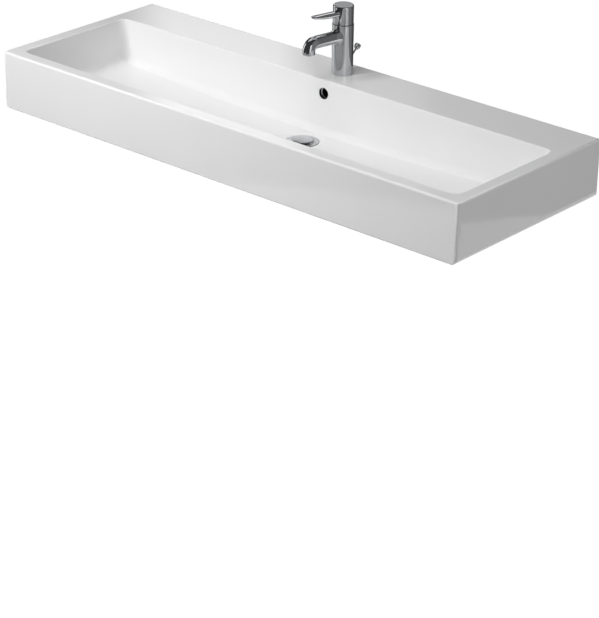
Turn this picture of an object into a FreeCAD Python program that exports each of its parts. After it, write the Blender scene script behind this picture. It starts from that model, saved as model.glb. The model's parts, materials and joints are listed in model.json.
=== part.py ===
import FreeCAD, Part
import math
import os
from FreeCAD import Vector

# Wall-hung rectangular ceramic washbasin with a single-lever mixer and a pop-up waste.
# Frame: X to the right seen from the front, the wall is the plane y = 0 and the front faces -Y, Z is up.
# The origin is on the wall plane, midway between the wall fixings. Millimetres.

# Ceramic block
basin_width = 1200.0
basin_depth = 440.0
skirt_height = 124.0
rim_height = 65.0             # rim above the wall fixings
front_corner_radius = 9.0
back_corner_radius = 4.0
top_edge_radius = 5.0
bottom_edge_radius = 5.0      # along the front
bottom_end_radius = 18.0      # lower corners seen from the front
back_edge_radius = 3.0
skirt_wall = 26.0
rear_wall = 12.0
deck_thickness = 12.0

# Bowl
front_rim = 30.0
side_rim = 30.0
tap_shelf = 114.0             # wall to bowl, the shelf that carries the mixer
bowl_end_depth = 95.0
bowl_centre_depth = 114.0
bowl_corner_radius = 18.0
bowl_floor_radius = 14.0
bowl_lip_radius = 3.0
bowl_wall = 10.0
bowl_floor = 9.5
bowl_shell_radius = 12.0      # outside rounding under the bowl

# Drain outlet and overflow in the ceramic
drain_setback = 177.0         # wall to drain axis
drain_hole_radius = 23.0
drain_boss_wall = 10.0
drain_boss_drop = 22.5        # boss below the bowl's underside
drain_seat_radius = 35.0
drain_seat_sink = 4.0         # seat below the bowl floor
drain_dish_radius = 46.0
drain_dish_sink = 1.5
overflow_radius = 12.5
overflow_drop = 29.5          # rim to overflow axis
liner_wall = 0.8
liner_short = 1.0             # liner shorter than the hole
duct_width = 34.0
duct_depth = 14.0
duct_wall = 7.0
duct_roof = 4.0               # ceramic between the bowl's underside and the duct

# Holes and wall fixings
tap_hole_radius = 17.5
tap_setback = 57.0            # wall to mixer axis
fixing_hole_radius = 8.0
fixing_pitch = 280.0
fixing_count = 4
stud_thread_radius = 4.8      # M10, drawn between the thread's crest and flank
stud_radius = 5.0             # plain shank behind the wall plane
stud_shank = 15.0
stud_into_wall = 60.0
stud_thread_depth = 0.9       # of the wood thread's root below the shank
stud_tail = 34.0              # wall plane to the nut end
sleeve_flange_radius = 14.0
sleeve_flange_thickness = 3.0
sleeve_short = 1.0            # sleeve end short of the wall plane
washer_radius = 12.0
washer_thickness = 2.5
nut_flats = 17.0
nut_height = 8.0

# Shared clearances
seat_gap = 0.05               # between fixed round pieces, radial
run_gap = 0.05                # running fit, radial
free_gap = 0.3                # between pieces that move past each other
thread_gap = 0.05
over = 1.0                    # overrun of every cut
chamfer = 0.6

# Mixer body and spout, heights above the rim, places from the mixer axis
body_radius = 22.0
body_height = 106.5
spout_radius = 13.0
spout_drop = 25.0             # body's top to the spout's root
spout_rise_deg = 4.2
spout_reach = 105.0
spout_bend_radius = 16.0
spout_fall = 12.5             # spout's root to its outlet
spout_bore_radius = 8.0
collar_half_width = 15.0
collar_half_height = 19.0
collar_length = 21.0
collar_root_share = 0.8       # of the body radius, where the collar starts inside the body
collar_station_shares = (0.0, 0.28, 0.6, 1.0)
collar_flare_shares = (1.0, 0.5, 0.15, 0.0)
inlet_offset = 7.5
inlet_setback = 1.0
inlet_bore_radius = 4.0
inlet_thread_radius = 5.0
inlet_thread_depth = 12.0
base_ring_outer = 20.5
base_ring_inner = 18.2
base_ring_thickness = 1.0

# Aerator in the spout's outlet
aerator_lip = 3.0
aerator_thread_radius = 10.5
aerator_thread_height = 6.0
aerator_seal_thickness = 1.5
aerator_seal_inner = 8.4
aerator_insert_radius = 8.8
aerator_insert_height = 6.5
aerator_mouth_radius = 8.0
aerator_hole_radius = 0.9
aerator_hole_pitch = 2.8

# Lift-and-turn cartridge
chamber_radius = 14.0
chamber_depth = 42.0          # below the body's top
cartridge_nut_radius = 17.0
cartridge_nut_height = 8.0
cartridge_bore_radius = 9.0
cartridge_floor = 4.0
cartridge_port_radius = 2.4
cartridge_port_offset = 6.0
seal_groove_depth = 1.3
seal_groove_height = 1.8
cartridge_seal_heights = (3.0, 24.0, 29.0)
spool_start = 8.0             # above the chamber floor
spool_height = 18.0
spool_seal_inset = 2.0
stem_radius = 3.0
stem_flat = 2.4               # half the width across the stem's flats
stem_ball_radius = 4.5

# Swivel carrier and lever
carrier_radius = 17.0
carrier_plate = 1.5
carrier_hub_depth = 7.0
pin_rise = 5.3                # hinge pin above the body's top
pin_setback = 13.5            # hinge pin behind the mixer axis
pin_radius = 1.5
carrier_ear_radius = 2.6
carrier_ear_inner = 3.7
carrier_ear_outer = 7.0
yoke_ear_radius = 2.8
yoke_ear_inner = 7.4
yoke_ear_outer = 10.2
yoke_plate = 2.5
yoke_rise = 8.7               # yoke's upper face above the pin
yoke_slot_half_width = 3.6
yoke_slot_front = 8.4
yoke_slot_back = 3.6
yoke_screw_offset = 13.0
yoke_screw_setback = 3.0
yoke_screw_radius = 1.5
yoke_screw_head_radius = 2.7
yoke_screw_head = 1.8
yoke_screw_length = 9.0
yoke_boss_radius = 3.2
ball_lash = 0.6               # stem ball above the yoke plate
lever_radius = 21.2
lever_gap = 1.0               # joint line between body and lever
lever_cap_height = 38.5
lever_wall = 2.2
lever_top = 5.0
lever_top_radius = 2.5
lever_relief_start = 12.0
lever_relief_rise = 2.2
lever_lift_deg = 20.0
lever_swing_deg = 50.0
paddle_reach = 95.5
paddle_half_width = 7.0
paddle_root_half_width = 8.5
paddle_root_top = 29.3        # paddle heights above the cap's lower edge
paddle_tip_top = 36.1
paddle_root_bottom = 17.0
paddle_mid_reach = 58.0
paddle_mid_bottom = 20.2
paddle_tip_bottom = 29.6
paddle_under_radius = 60.0
paddle_tip_round = 6.5
paddle_edge_radius = 1.2

# Mixer fixing under the deck
mixer_stud_radius = 3.0
mixer_stud_offset = 10.0
mixer_stud_engagement = 14.0
mixer_stud_tail = 34.0        # below the rim
clamp_radius = 21.0
clamp_slot_half_width = 13.4
clamp_slot_front = 5.5
clamp_rubber = 3.0
clamp_plate_thickness = 2.0
mixer_nut_flats = 11.0
mixer_nut_height = 9.0

# Lift rod behind the body
rod_radius = 2.0
rod_setback = 12.0            # vertical run behind the mixer axis
rod_slope_deg = 41.5
rod_exit_height = 23.0        # where the slanted run leaves the body
rod_bend_radius = 6.0
rod_clearance = 0.5
rod_travel = 24.0
rod_bottom = 170.0            # below the rim
knob_setback = 47.4
knob_radius = 7.0
knob_length = 9.0
knob_neck_radius = 4.2
knob_neck_length = 2.5
knob_facets = 12
knob_chamfer = 1.4
knob_socket = 5.0

# Pop-up waste, depths below the rim, places from the drain axis
flange_radius = 33.0
flange_plate = 2.5
flange_edge = 1.0
flange_lip_radius = 31.0
flange_shoulder_radius = 23.5
flange_shoulder_fall = 1.2
flange_dish_radius = 19.5
flange_dish_fall = 5.5
flange_throat_radius = 17.5
flange_throat_fall = 7.0
flange_heel_radius = 24.2      # inside the gasket
flange_neck_radius = 22.4
flange_neck_fall = 4.3
flange_root_fall = 9.0
flange_tube_radius = 18.0
flange_tube_inner = 15.5
flange_tube_length = 10.0
flange_gasket_inner = 24.5
flange_gasket_outer = 31.5
flange_gasket_thickness = 1.5
waste_radius = 20.95          # G 1 1/4 thread
waste_bore_radius = 17.0
waste_top_below_seat = 5.0
waste_socket_depth = 10.0
waste_window = 9.0
waste_window_below_seat = 14.0
lower_gasket_thickness = 5.0
lower_gasket_outer = 30.0
waste_nut_height = 11.0
waste_nut_flats = 58.0
waste_shoulder_below_port = 12.0
waste_shoulder_radius = 14.6
waste_shoulder_height = 2.0
tail_radius = 16.0
tail_wall = 1.0
tail_neck_radius = 15.6       # in the waste's socket
tail_neck_bare = 1.0          # neck left below the socket
tail_socket_depth = 12.0
tail_length = 58.0
port_below_boss = 40.0        # drain boss foot to the pivot rod's ball
port_boss_radius = 11.0
port_boss_reach = 38.0
port_bore_radius = 7.0
port_bore_start = 19.0
port_hole_radius = 4.0
ball_offset = 25.0
ball_radius = 5.5
seal_cup_length = 4.6
seal_cup_hole = 3.6
gland_hole = 4.7
pivot_nut_radius = 13.5
pivot_nut_wall = 3.5
pivot_nut_hole = 5.3
pivot_nut_engagement = 10.0
pivot_inner_radius = 2.0
pivot_outer_radius = 2.5
pivot_inner_overrun = 3.0
pivot_outer_end = 30.0        # from the wall plane
plug_radius = 20.5
plug_edge = 0.8
plug_crown = 3.0
plug_under_radius = 18.5
plug_under_fall = 1.7
plug_hub_radius = 12.0
plug_hub_depth = 1.5
plug_seal_radius = 18.3
plug_proud = 1.0              # closed plug's crown above the flange's lip
fin_radius = 14.0
fin_thickness = 3.0
fin_depth = 29.0
eye_radius = 2.6
eye_blade_half_width = 6.2
eye_blade_foot = 5.6

# Link between the lift rod and the pivot rod
strap_half_width = 6.0
strap_thickness = 1.5
strap_gap = 0.4
strap_above_rod_end = 20.0
strap_below_rod_end = 58.0
strap_hole_radius = 3.1
strap_hole_pitch = 12.0
strap_spare_holes = 2
lug_reach = 4.5
lug_thickness = 2.0
lug_spacing = 14.0
lug_first_drop = 2.0
lug_hole_gap = 0.1
thumb_radius = 2.0
thumb_head_radius = 5.0
thumb_head = 3.0
thumb_shank = 5.0
clip_half_height = 6.0
clip_thickness = 0.8
clip_arm_offset = 4.0
clip_inner = 5.0
clip_bridge = 7.5

# Levels and places that follow from the sizes above
rim = rim_height
shelf_edge_y = -tap_shelf
shell_back_y = shelf_edge_y + bowl_wall
bowl_front_y = -(basin_depth - front_rim)
bowl_half_length = basin_width / 2 - side_rim
boss_foot = bowl_centre_depth + bowl_floor + drain_boss_drop
duct_lid_low = rim - bowl_centre_depth - bowl_floor - duct_roof
seat_depth = bowl_centre_depth + drain_seat_sink
port_depth = boss_foot + port_below_boss
mixer_place = Vector(0, -tap_setback, rim)
waste_place = Vector(0, -drain_setback, rim)
rod_y = -tap_setback + rod_setback
spout_root_height = body_height - spout_drop
spout_outlet_height = spout_root_height - spout_fall
chamber_floor_height = body_height - chamber_depth
pin_height = body_height + pin_rise
yoke_top_height = pin_height + yoke_rise
lever_low = body_height + lever_gap
lever_height = lever_low + lever_cap_height
strap_y = rod_y + rod_radius + strap_gap
link_arm = strap_y + strap_thickness / 2 + drain_setback - ball_offset
half_swing = math.atan(rod_travel / 2 / link_arm)
plug_travel = rod_travel * ball_offset / link_arm

X = Vector(1, 0, 0)
Y = Vector(0, 1, 0)
Z = Vector(0, 0, 1)


def block(low, high):
    """Box between two opposite corners."""
    size = high - low
    return Part.makeBox(size.x, size.y, size.z, low)


def post(radius, low, high, x=0.0, y=0.0):
    """Upright cylinder between two heights."""
    return Part.makeCylinder(radius, high - low, Vector(x, y, low), Z)


def bar(radius, start, end):
    """Cylinder between two points."""
    run = end - start
    return Part.makeCylinder(radius, run.Length, start, run)


def turned(profile, base=Vector(0, 0, 0), axis=Z):
    """Solid of revolution of (radius, height) points about an axis through base."""
    points = [Vector(r, 0, h) for r, h in profile]
    solid = Part.Face(Part.makePolygon(points + points[:1])).revolve(Vector(0, 0, 0), Z, 360)
    solid.Placement = FreeCAD.Placement(base, FreeCAD.Rotation(Z, axis))
    return solid


def ring(outer, inner, low, high):
    """Upright ring of square section."""
    return turned([(inner, low), (outer, low), (outer, high), (inner, high)])


def soft_face(points, radii):
    """Closed flat outline with each corner rounded to its own radius; zero keeps it sharp."""
    edges = []
    joints = []
    count = len(points)
    for i, corner in enumerate(points):
        back = (points[i - 1] - corner).normalize()
        ahead = (points[(i + 1) % count] - corner).normalize()
        if radii[i] == 0:
            joints.append((corner, corner))
            continue
        half = back.getAngle(ahead) / 2
        setback = radii[i] / math.tan(half)
        middle = (back + ahead).normalize()
        start = corner + back * setback
        end = corner + ahead * setback
        crown = corner + middle * (radii[i] / math.sin(half) - radii[i])
        edges.append(Part.Arc(start, crown, end).toShape())
        joints.append((start, end))
    for i in range(count):
        leave = joints[i][1]
        reach = joints[(i + 1) % count][0]
        edges.append(Part.LineSegment(leave, reach).toShape())
    return Part.Face(Part.Wire(Part.__sortEdges__(edges)))


def hexagon(flats, bore, low, high):
    """Upright hexagon nut with a plain bore."""
    reach = flats / 2 / math.cos(math.pi / 6)
    corners = [Vector(reach * math.cos(k * math.pi / 3), reach * math.sin(k * math.pi / 3), low) for k in range(6)]
    nut = Part.Face(Part.makePolygon(corners + corners[:1])).extrude(Vector(0, 0, high - low))
    dome = turned([(0, low), (reach - chamfer, low), (reach, low + chamfer), (reach, high - chamfer),
                   (reach - chamfer, high), (0, high)])
    return nut.common(dome).cut(post(bore, low - over, high + over))


def swept(radius, path):
    """Round tube of constant radius along a wire, as a solid."""
    first = path.OrderedEdges[0]
    start = first.valueAt(first.FirstParameter)
    tangent = first.tangentAt(first.FirstParameter)
    circle = Part.Wire([Part.Circle(start, tangent, radius).toShape()])
    return path.makePipeShell([circle], True, False)


def bent_path(start, corner, end, radius):
    """Two straight runs joined by a tangent arc at the corner."""
    back = (start - corner).normalize()
    ahead = (end - corner).normalize()
    half = back.getAngle(ahead) / 2
    setback = radius / math.tan(half)
    entry = corner + back * setback
    leave = corner + ahead * setback
    crown = corner + (back + ahead).normalize() * (radius / math.sin(half) - radius)
    edges = [Part.LineSegment(start, entry).toShape(), Part.Arc(entry, crown, leave).toShape(),
             Part.LineSegment(leave, end).toShape()]
    return Part.Wire(edges)


def oval(centre, direction, half_width, half_height):
    """Elliptical wire across a direction in the YZ plane, its width along X."""
    up = X.cross(direction).normalize() * -1
    unit = Part.Wire([Part.Circle(Vector(0, 0, 0), Z, 1).toShape()])
    u = X * half_width
    v = up * half_height
    matrix = FreeCAD.Matrix(u.x, v.x, direction.x, centre.x, u.y, v.y, direction.y, centre.y,
                            u.z, v.z, direction.z, centre.z, 0, 0, 0, 1)
    return unit.transformGeometry(matrix)


def placed(shape, place):
    """The shape moved from its own axis to its place on the basin."""
    moved = shape.copy()
    moved.translate(place)
    return moved


# Ceramic

def ceramic_block():
    """Outer block: the overlap of its plan, side and front outlines, so every edge is rounded."""
    half = basin_width / 2
    low = rim - skirt_height
    plan = soft_face([Vector(-half, 0, low), Vector(-half, -basin_depth, low), Vector(half, -basin_depth, low),
                      Vector(half, 0, low)],
                     [back_corner_radius, front_corner_radius, front_corner_radius, back_corner_radius])
    side = soft_face([Vector(-half, 0, low), Vector(-half, -basin_depth, low), Vector(-half, -basin_depth, rim),
                      Vector(-half, 0, rim)], [0, bottom_edge_radius, top_edge_radius, back_edge_radius])
    front = soft_face([Vector(-half, 0, low), Vector(half, 0, low), Vector(half, 0, rim), Vector(-half, 0, rim)],
                      [bottom_end_radius, bottom_end_radius, top_edge_radius, top_edge_radius])
    upright = plan.extrude(Z * skirt_height)
    long_bar = side.extrude(X * basin_width)
    deep_bar = front.extrude(Y * -basin_depth)
    return upright.common(long_bar).common(deep_bar)


def bowl_form(grow, sink, corner_radius, floor_radius, top):
    """Bowl-shaped solid: walls grown outwards, floor sunk, floor falling in one arc to the middle."""
    reach = bowl_half_length + grow
    end_floor = rim - bowl_end_depth - sink
    back = shelf_edge_y + grow
    front = bowl_front_y - grow
    left = Vector(-reach, back, end_floor)
    right = Vector(reach, back, end_floor)
    floor = Part.Arc(left, Vector(0, back, rim - bowl_centre_depth - sink), right).toShape()
    walls = Part.makePolygon([right, Vector(reach, back, top), Vector(-reach, back, top), left])
    form = Part.Face(Part.Wire([floor] + walls.Edges)).extrude(Y * (front - back))
    form = form.makeFillet(corner_radius, [e for e in form.Edges if is_upright(e)])
    return form.makeFillet(floor_radius, [e for e in form.Edges if e.BoundBox.ZMax < top - floor_radius])


def is_upright(edge):
    """True for a straight vertical edge."""
    box = edge.BoundBox
    return box.XLength < chamfer and box.YLength < chamfer


def bowl_shell():
    """Outside of the bowl, up to the deck."""
    return bowl_form(bowl_wall, bowl_floor, bowl_corner_radius + bowl_wall, bowl_shell_radius, rim - deck_thickness)


def duct_passage():
    """Free way of the overflow water: a drop behind the bowl, then a run under it to the drain."""
    half = duct_width / 2
    top = rim - overflow_drop + overflow_radius
    floor = rim - boss_foot + duct_wall
    drop = block(Vector(-half, shell_back_y, floor), Vector(half, shell_back_y + duct_depth, top))
    run = block(Vector(-half, -drain_setback, floor), Vector(half, shell_back_y + over, duct_lid_low))
    return drop.fuse(run)


def duct_lid():
    """Flat thickening under the bowl that closes the run from above."""
    half = duct_width / 2 + duct_wall
    return block(Vector(-half, -drain_setback, duct_lid_low),
                 Vector(half, shell_back_y, rim - bowl_centre_depth - bowl_floor / 2))


def drain_boss():
    """Round boss under the drain hole."""
    outer = drain_hole_radius + drain_boss_wall
    roof = rim - bowl_centre_depth - bowl_floor / 2
    return post(outer, rim - boss_foot, roof, 0, -drain_setback)


def drain_cuts():
    """Dish, seat and hole of the drain."""
    floor = rim - bowl_centre_depth
    dish_low = floor - drain_dish_sink
    top = floor + drain_dish_sink
    dish = turned([(0, dish_low), (drain_seat_radius + drain_dish_sink, dish_low), (drain_dish_radius, floor),
                   (drain_dish_radius, top), (0, top)], Vector(0, -drain_setback, 0))
    recess = post(drain_seat_radius, rim - seat_depth, top, 0, -drain_setback)
    hole = post(drain_hole_radius, rim - boss_foot - over, top, 0, -drain_setback)
    return dish.fuse([recess, hole])


def fixing_places():
    """X of each wall fixing."""
    first = -fixing_pitch * (fixing_count - 1) / 2
    return [first + i * fixing_pitch for i in range(fixing_count)]


def make_basin():
    """The glazed ceramic: skirt, deck, bowl and drain boss cast in one."""
    half = basin_width / 2
    low = rim - skirt_height
    hollow = block(Vector(-half + skirt_wall, -basin_depth + skirt_wall, low - over),
                   Vector(half - skirt_wall, -rear_wall, rim - deck_thickness))
    cavity = bowl_form(0, 0, bowl_corner_radius, bowl_floor_radius, rim)
    body = ceramic_block().cut(hollow).fuse([bowl_shell(), drain_boss(), duct_lid()]).removeSplitter()
    body = body.cut([cavity, duct_passage(), drain_cuts()])
    body = body.cut(post(tap_hole_radius, rim - deck_thickness - over, rim + over, 0, -tap_setback))
    overflow = bar(overflow_radius, Vector(0, shelf_edge_y - over, rim - overflow_drop),
                   Vector(0, shelf_edge_y + bowl_wall + over, rim - overflow_drop))
    holes = [bar(fixing_hole_radius, Vector(x, -rear_wall - over, 0), Vector(x, over, 0)) for x in fixing_places()]
    body = body.cut([overflow] + holes)
    lip = [e for e in body.Edges if on_bowl_lip(e)]
    return body.makeFillet(bowl_lip_radius, lip)


def on_bowl_lip(edge):
    """True for the edges of the bowl's opening in the rim."""
    box = edge.BoundBox
    flat = box.ZMin > rim - chamfer
    inside = box.YMax < shelf_edge_y + chamfer and box.YMin > bowl_front_y - chamfer
    reach = max(abs(box.XMin), abs(box.XMax))
    return flat and inside and reach < bowl_half_length + chamfer


def make_overflow_duct():
    """Overflow channel, cast apart and stuck with slip to the bowl's back and underside before the firing."""
    half = duct_width / 2 + duct_wall
    foot = rim - boss_foot
    upright = block(Vector(-half, shelf_edge_y, foot),
                    Vector(half, shell_back_y + duct_depth + duct_wall, rim - deck_thickness))
    level = block(Vector(-half, -drain_setback, foot), Vector(half, shell_back_y, duct_lid_low))
    return upright.fuse(level).cut([bowl_shell(), drain_boss(), duct_lid(), duct_passage()]).removeSplitter()


def make_overflow_ring():
    """Thin bright liner pushed into the overflow hole, its lip flush round the hole."""
    start = Vector(0, shelf_edge_y, rim - overflow_drop)
    outer = overflow_radius - seat_gap
    inner = outer - liner_wall
    reach = bowl_wall - liner_short
    return bar(outer, start, start + Y * reach).cut(bar(inner, start - Y * over, start + Y * bowl_wall))


# Wall fixings

def make_wall_studs():
    """Hanger bolts: machine thread inside, plain shank and pointed wood thread in the wall."""
    root = stud_radius - stud_thread_depth
    profile = [(0, -stud_tail), (stud_thread_radius - chamfer, -stud_tail), (stud_thread_radius, -stud_tail + chamfer),
               (stud_thread_radius, 0), (stud_radius, 0), (stud_radius, stud_shank),
               (root, stud_shank + stud_thread_depth), (root, stud_into_wall - 2 * stud_radius), (0, stud_into_wall)]
    return [turned(profile, Vector(x, 0, 0), Y) for x in fixing_places()]


def make_stud_sleeves():
    """Shouldered plastic sleeves that keep the studs off the ceramic."""
    bore = stud_thread_radius + seat_gap
    shank = fixing_hole_radius - seat_gap
    inner_face = -rear_wall - sleeve_flange_thickness
    profile = [(bore, inner_face), (sleeve_flange_radius, inner_face), (sleeve_flange_radius, -rear_wall),
               (shank, -rear_wall), (shank, -sleeve_short), (bore, -sleeve_short)]
    return [turned(profile, Vector(x, 0, 0), Y) for x in fixing_places()]


def make_stud_washers():
    """Flat washers behind the sleeves."""
    face = -rear_wall - sleeve_flange_thickness
    washer = ring(washer_radius, stud_thread_radius + seat_gap, face - washer_thickness, face)
    return [laid(washer, x) for x in fixing_places()]


def make_stud_nuts():
    """Hexagon nuts that pull the basin to the wall."""
    face = -rear_wall - sleeve_flange_thickness - washer_thickness
    nut = hexagon(nut_flats, stud_thread_radius + thread_gap, face - nut_height, face)
    return [laid(nut, x) for x in fixing_places()]


def laid(shape, x):
    """An upright piece turned to lie along +Y at a fixing."""
    turn = shape.copy()
    turn.Placement = FreeCAD.Placement(Vector(x, 0, 0), FreeCAD.Rotation(Z, Y))
    return turn


# Mixer, built about its own axis with the rim at height zero

def spout_path(start_share):
    """Centre line of the spout from inside the body to the outlet."""
    rise = math.tan(math.radians(spout_rise_deg))
    start_reach = body_radius * start_share
    start = Vector(0, -start_reach, spout_root_height)
    corner = Vector(0, -spout_reach, spout_root_height + (spout_reach - start_reach) * rise)
    end = Vector(0, -spout_reach, spout_outlet_height)
    return bent_path(start, corner, end, spout_bend_radius)


def spout_collar():
    """Flared root that blends the round spout into the body."""
    rise = math.radians(spout_rise_deg)
    heading = Vector(0, -math.cos(rise), math.sin(rise))
    root = Vector(0, -body_radius * collar_root_share, spout_root_height)
    sections = []
    for station, flare in zip(collar_station_shares, collar_flare_shares):
        centre = root + heading * (collar_length * station)
        width = spout_radius + (collar_half_width - spout_radius) * flare
        height = spout_radius + (collar_half_height - spout_radius) * flare
        sections.append(oval(centre, heading, width, height))
    return Part.makeLoft(sections, True, False)


def rod_height(y):
    """Height of the lift rod's slanted centre line at a distance behind the mixer axis."""
    return rod_exit_height + (y - body_radius) * math.tan(math.radians(rod_slope_deg))


def rod_channel():
    """Slot in the body for the lift rod: an upright run open below and a slanted exit at the back."""
    reach = (rod_radius + rod_clearance) / math.cos(math.radians(rod_slope_deg))
    near = rod_setback - rod_radius - rod_clearance
    far = rod_setback + rod_radius + rod_clearance
    out = body_radius + over
    points = [Vector(0, near, -over), Vector(0, far, -over), Vector(0, far, rod_height(far) - reach),
              Vector(0, out, rod_height(out) - reach), Vector(0, out, rod_height(out) + rod_travel + reach),
              Vector(0, near, rod_height(near) + rod_travel + reach)]
    half = rod_radius + rod_clearance
    face = Part.Face(Part.makePolygon(points + points[:1]))
    return placed(face.extrude(X * (2 * half)), X * -half)


def body_column():
    """Plain round column of the mixer with eased ends."""
    return turned([(0, 0), (body_radius - chamfer, 0), (body_radius, chamfer), (body_radius, body_height - chamfer),
                   (body_radius - chamfer, body_height), (0, body_height)])


def body_waterways():
    """Cartridge chamber, inlet bores with hose threads, and the spout's bore."""
    chamber = post(chamber_radius, chamber_floor_height, body_height + over)
    nut_seat = post(cartridge_nut_radius, body_height - cartridge_nut_height, body_height + over)
    cuts = [chamber, nut_seat, swept(spout_bore_radius, spout_path(collar_root_share / 2))]
    for side in (-1, 1):
        x = side * inlet_offset
        cuts.append(post(inlet_bore_radius, -over, chamber_floor_height + over, x, inlet_setback))
        cuts.append(post(inlet_thread_radius, -over, inlet_thread_depth, x, inlet_setback))
    return cuts


def aerator_socket():
    """Threaded mouth of the spout with a seat for the aerator's seal."""
    top = spout_outlet_height + aerator_thread_height + aerator_seal_thickness
    return post(aerator_thread_radius, spout_outlet_height - over, top, 0, -spout_reach)


def make_mixer_body():
    """Cast brass body and spout in one, bored for the cartridge, the hoses and the lift rod."""
    spout = swept(spout_radius, spout_path(collar_root_share))
    cast = body_column().fuse([spout_collar(), spout]).removeSplitter()
    groove = ring(base_ring_outer + seat_gap, base_ring_inner - seat_gap, -over, base_ring_thickness)
    stud = post(mixer_stud_radius + thread_gap, -over, mixer_stud_engagement, 0, -mixer_stud_offset)
    body = cast.cut(body_waterways() + [aerator_socket(), groove, stud, rod_channel()])
    return placed(body, mixer_place)


def make_base_gasket():
    """Thin rubber ring between the mixer and the ceramic deck."""
    return placed(ring(base_ring_outer, base_ring_inner, 0, base_ring_thickness), mixer_place)


def make_aerator_housing():
    """Screw-in aerator ring whose lip carries on the spout's round end."""
    face = spout_outlet_height
    thread = aerator_thread_radius - thread_gap
    bore = aerator_insert_radius + seat_gap
    bottom = face - aerator_lip
    shoulder = bottom + aerator_lip / 2
    top = face + aerator_thread_height
    profile = [(aerator_mouth_radius, bottom), (spout_radius - chamfer, bottom), (spout_radius, bottom + chamfer),
               (spout_radius, face), (thread, face), (thread, top), (bore, top), (bore, shoulder),
               (aerator_mouth_radius, shoulder)]
    return placed(turned(profile, Vector(0, -spout_reach, 0)), mixer_place)


def make_aerator_insert():
    """Plastic jet regulator: a disc pierced by rows of small holes."""
    bottom = spout_outlet_height - aerator_lip / 2
    disc = post(aerator_insert_radius, bottom, bottom + aerator_insert_height)
    reach = aerator_mouth_radius - aerator_hole_radius
    steps = int(reach / aerator_hole_pitch)
    row = aerator_hole_pitch * math.sqrt(3) / 2
    holes = []
    for j in range(-steps, steps + 1):
        for i in range(-steps - 1, steps + 2):
            x = (i + (j % 2) / 2) * aerator_hole_pitch
            y = j * row
            if math.hypot(x, y) < reach - aerator_hole_radius:
                holes.append(post(aerator_hole_radius, bottom - over, bottom + aerator_insert_height + over, x, y))
    return placed(disc.cut(holes), mixer_place + Vector(0, -spout_reach, 0))


def make_aerator_seal():
    """Flat rubber ring above the aerator."""
    low = spout_outlet_height + aerator_thread_height
    seal = ring(aerator_thread_radius - seat_gap, aerator_seal_inner, low, low + aerator_seal_thickness)
    return placed(seal, mixer_place + Vector(0, -spout_reach, 0))


def seal_rings(heights, outer):
    """Square-section rings for grooves that start at the given heights."""
    inner = outer - seal_groove_depth
    return [ring(outer, inner, h, h + seal_groove_height) for h in heights]


def seal_grooves(heights, outer):
    """Cuts for those rings."""
    inner = outer - seal_groove_depth
    return [ring(outer + over, inner, h, h + seal_groove_height) for h in heights]


def cartridge_top():
    """Height of the cartridge under its nut."""
    return body_height - cartridge_nut_height


def make_cartridge_sleeve():
    """Cartridge body: bored sleeve with two inlet ports, a side outlet and seal grooves."""
    low = chamber_floor_height
    outer = chamber_radius - seat_gap
    sleeve = post(outer, low, cartridge_top())
    bore = post(cartridge_bore_radius, low + cartridge_floor, cartridge_top() + over)
    ports = [post(cartridge_port_radius, low - over, low + cartridge_floor + over, s * cartridge_port_offset,
                  inlet_setback) for s in (-1, 1)]
    outlet = bar(spout_bore_radius, Vector(0, 0, spout_root_height), Vector(0, -chamber_radius - over,
                                                                            spout_root_height))
    grooves = seal_grooves([low + h for h in cartridge_seal_heights], outer)
    return placed(sleeve.cut([bore, outlet] + ports + grooves), mixer_place)


def make_cartridge_seals():
    """Rubber rings between the cartridge and the body."""
    heights = [chamber_floor_height + h for h in cartridge_seal_heights]
    return [placed(s, mixer_place) for s in seal_rings(heights, chamber_radius - seat_gap)]


def make_cartridge_nut():
    """Slotted retaining nut, flush with the body's top; the carrier's hub turns in it."""
    nut = ring(cartridge_nut_radius - thread_gap, cartridge_bore_radius + run_gap, cartridge_top(), body_height)
    slot_half = stem_flat
    slot = block(Vector(-body_radius, -slot_half, body_height - cartridge_nut_height / 3),
                 Vector(body_radius, slot_half, body_height + over))
    return placed(nut.cut(slot), mixer_place)


def carrier_plate_low():
    """Underside of the swivel carrier's plate."""
    return body_height + free_gap


def flatted_rod(radius, flat, low, high):
    """Upright round rod with two flats across X."""
    flats = block(Vector(-flat, -radius - over, low), Vector(flat, radius + over, high))
    return post(radius, low, high).common(flats)


def ear(radius, low, inner, outer):
    """Upright lug with a round top about the hinge pin's axis."""
    round_top = Part.makeCylinder(radius, outer - inner, Vector(inner, pin_setback, pin_height), X)
    leg = block(Vector(inner, pin_setback - radius, min(low, pin_height)),
                Vector(outer, pin_setback + radius, max(low, pin_height)))
    return round_top.fuse(leg)


def both_sides(inner, outer):
    """The two X ranges of a pair of lugs."""
    return [(-outer, -inner), (inner, outer)]


def make_swivel_carrier():
    """Turns with the lever: a plate with a hub in the nut, a flatted bore for the stem and two ears."""
    low = carrier_plate_low()
    top = low + carrier_plate
    plate = post(carrier_radius, low, top)
    hub = post(cartridge_bore_radius, low - carrier_hub_depth, low + carrier_plate / 2)
    ears = [ear(carrier_ear_radius, low, a, b) for a, b in both_sides(carrier_ear_inner, carrier_ear_outer)]
    bore = flatted_rod(stem_radius + run_gap, stem_flat + run_gap, low - carrier_hub_depth - over, top + over)
    pin = Part.makeCylinder(pin_radius + run_gap, 2 * carrier_radius, Vector(-carrier_radius, pin_setback, pin_height),
                            X)
    keep = post(carrier_radius, low - carrier_hub_depth, lever_height)
    return placed(plate.fuse([hub] + ears).common(keep).cut([bore, pin]), mixer_place)


def spool_low():
    """Lower end of the stem's spool at rest."""
    return chamber_floor_height + spool_start


def ball_height():
    """Centre of the stem's ball at rest."""
    return yoke_top_height + ball_lash + stem_ball_radius


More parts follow.
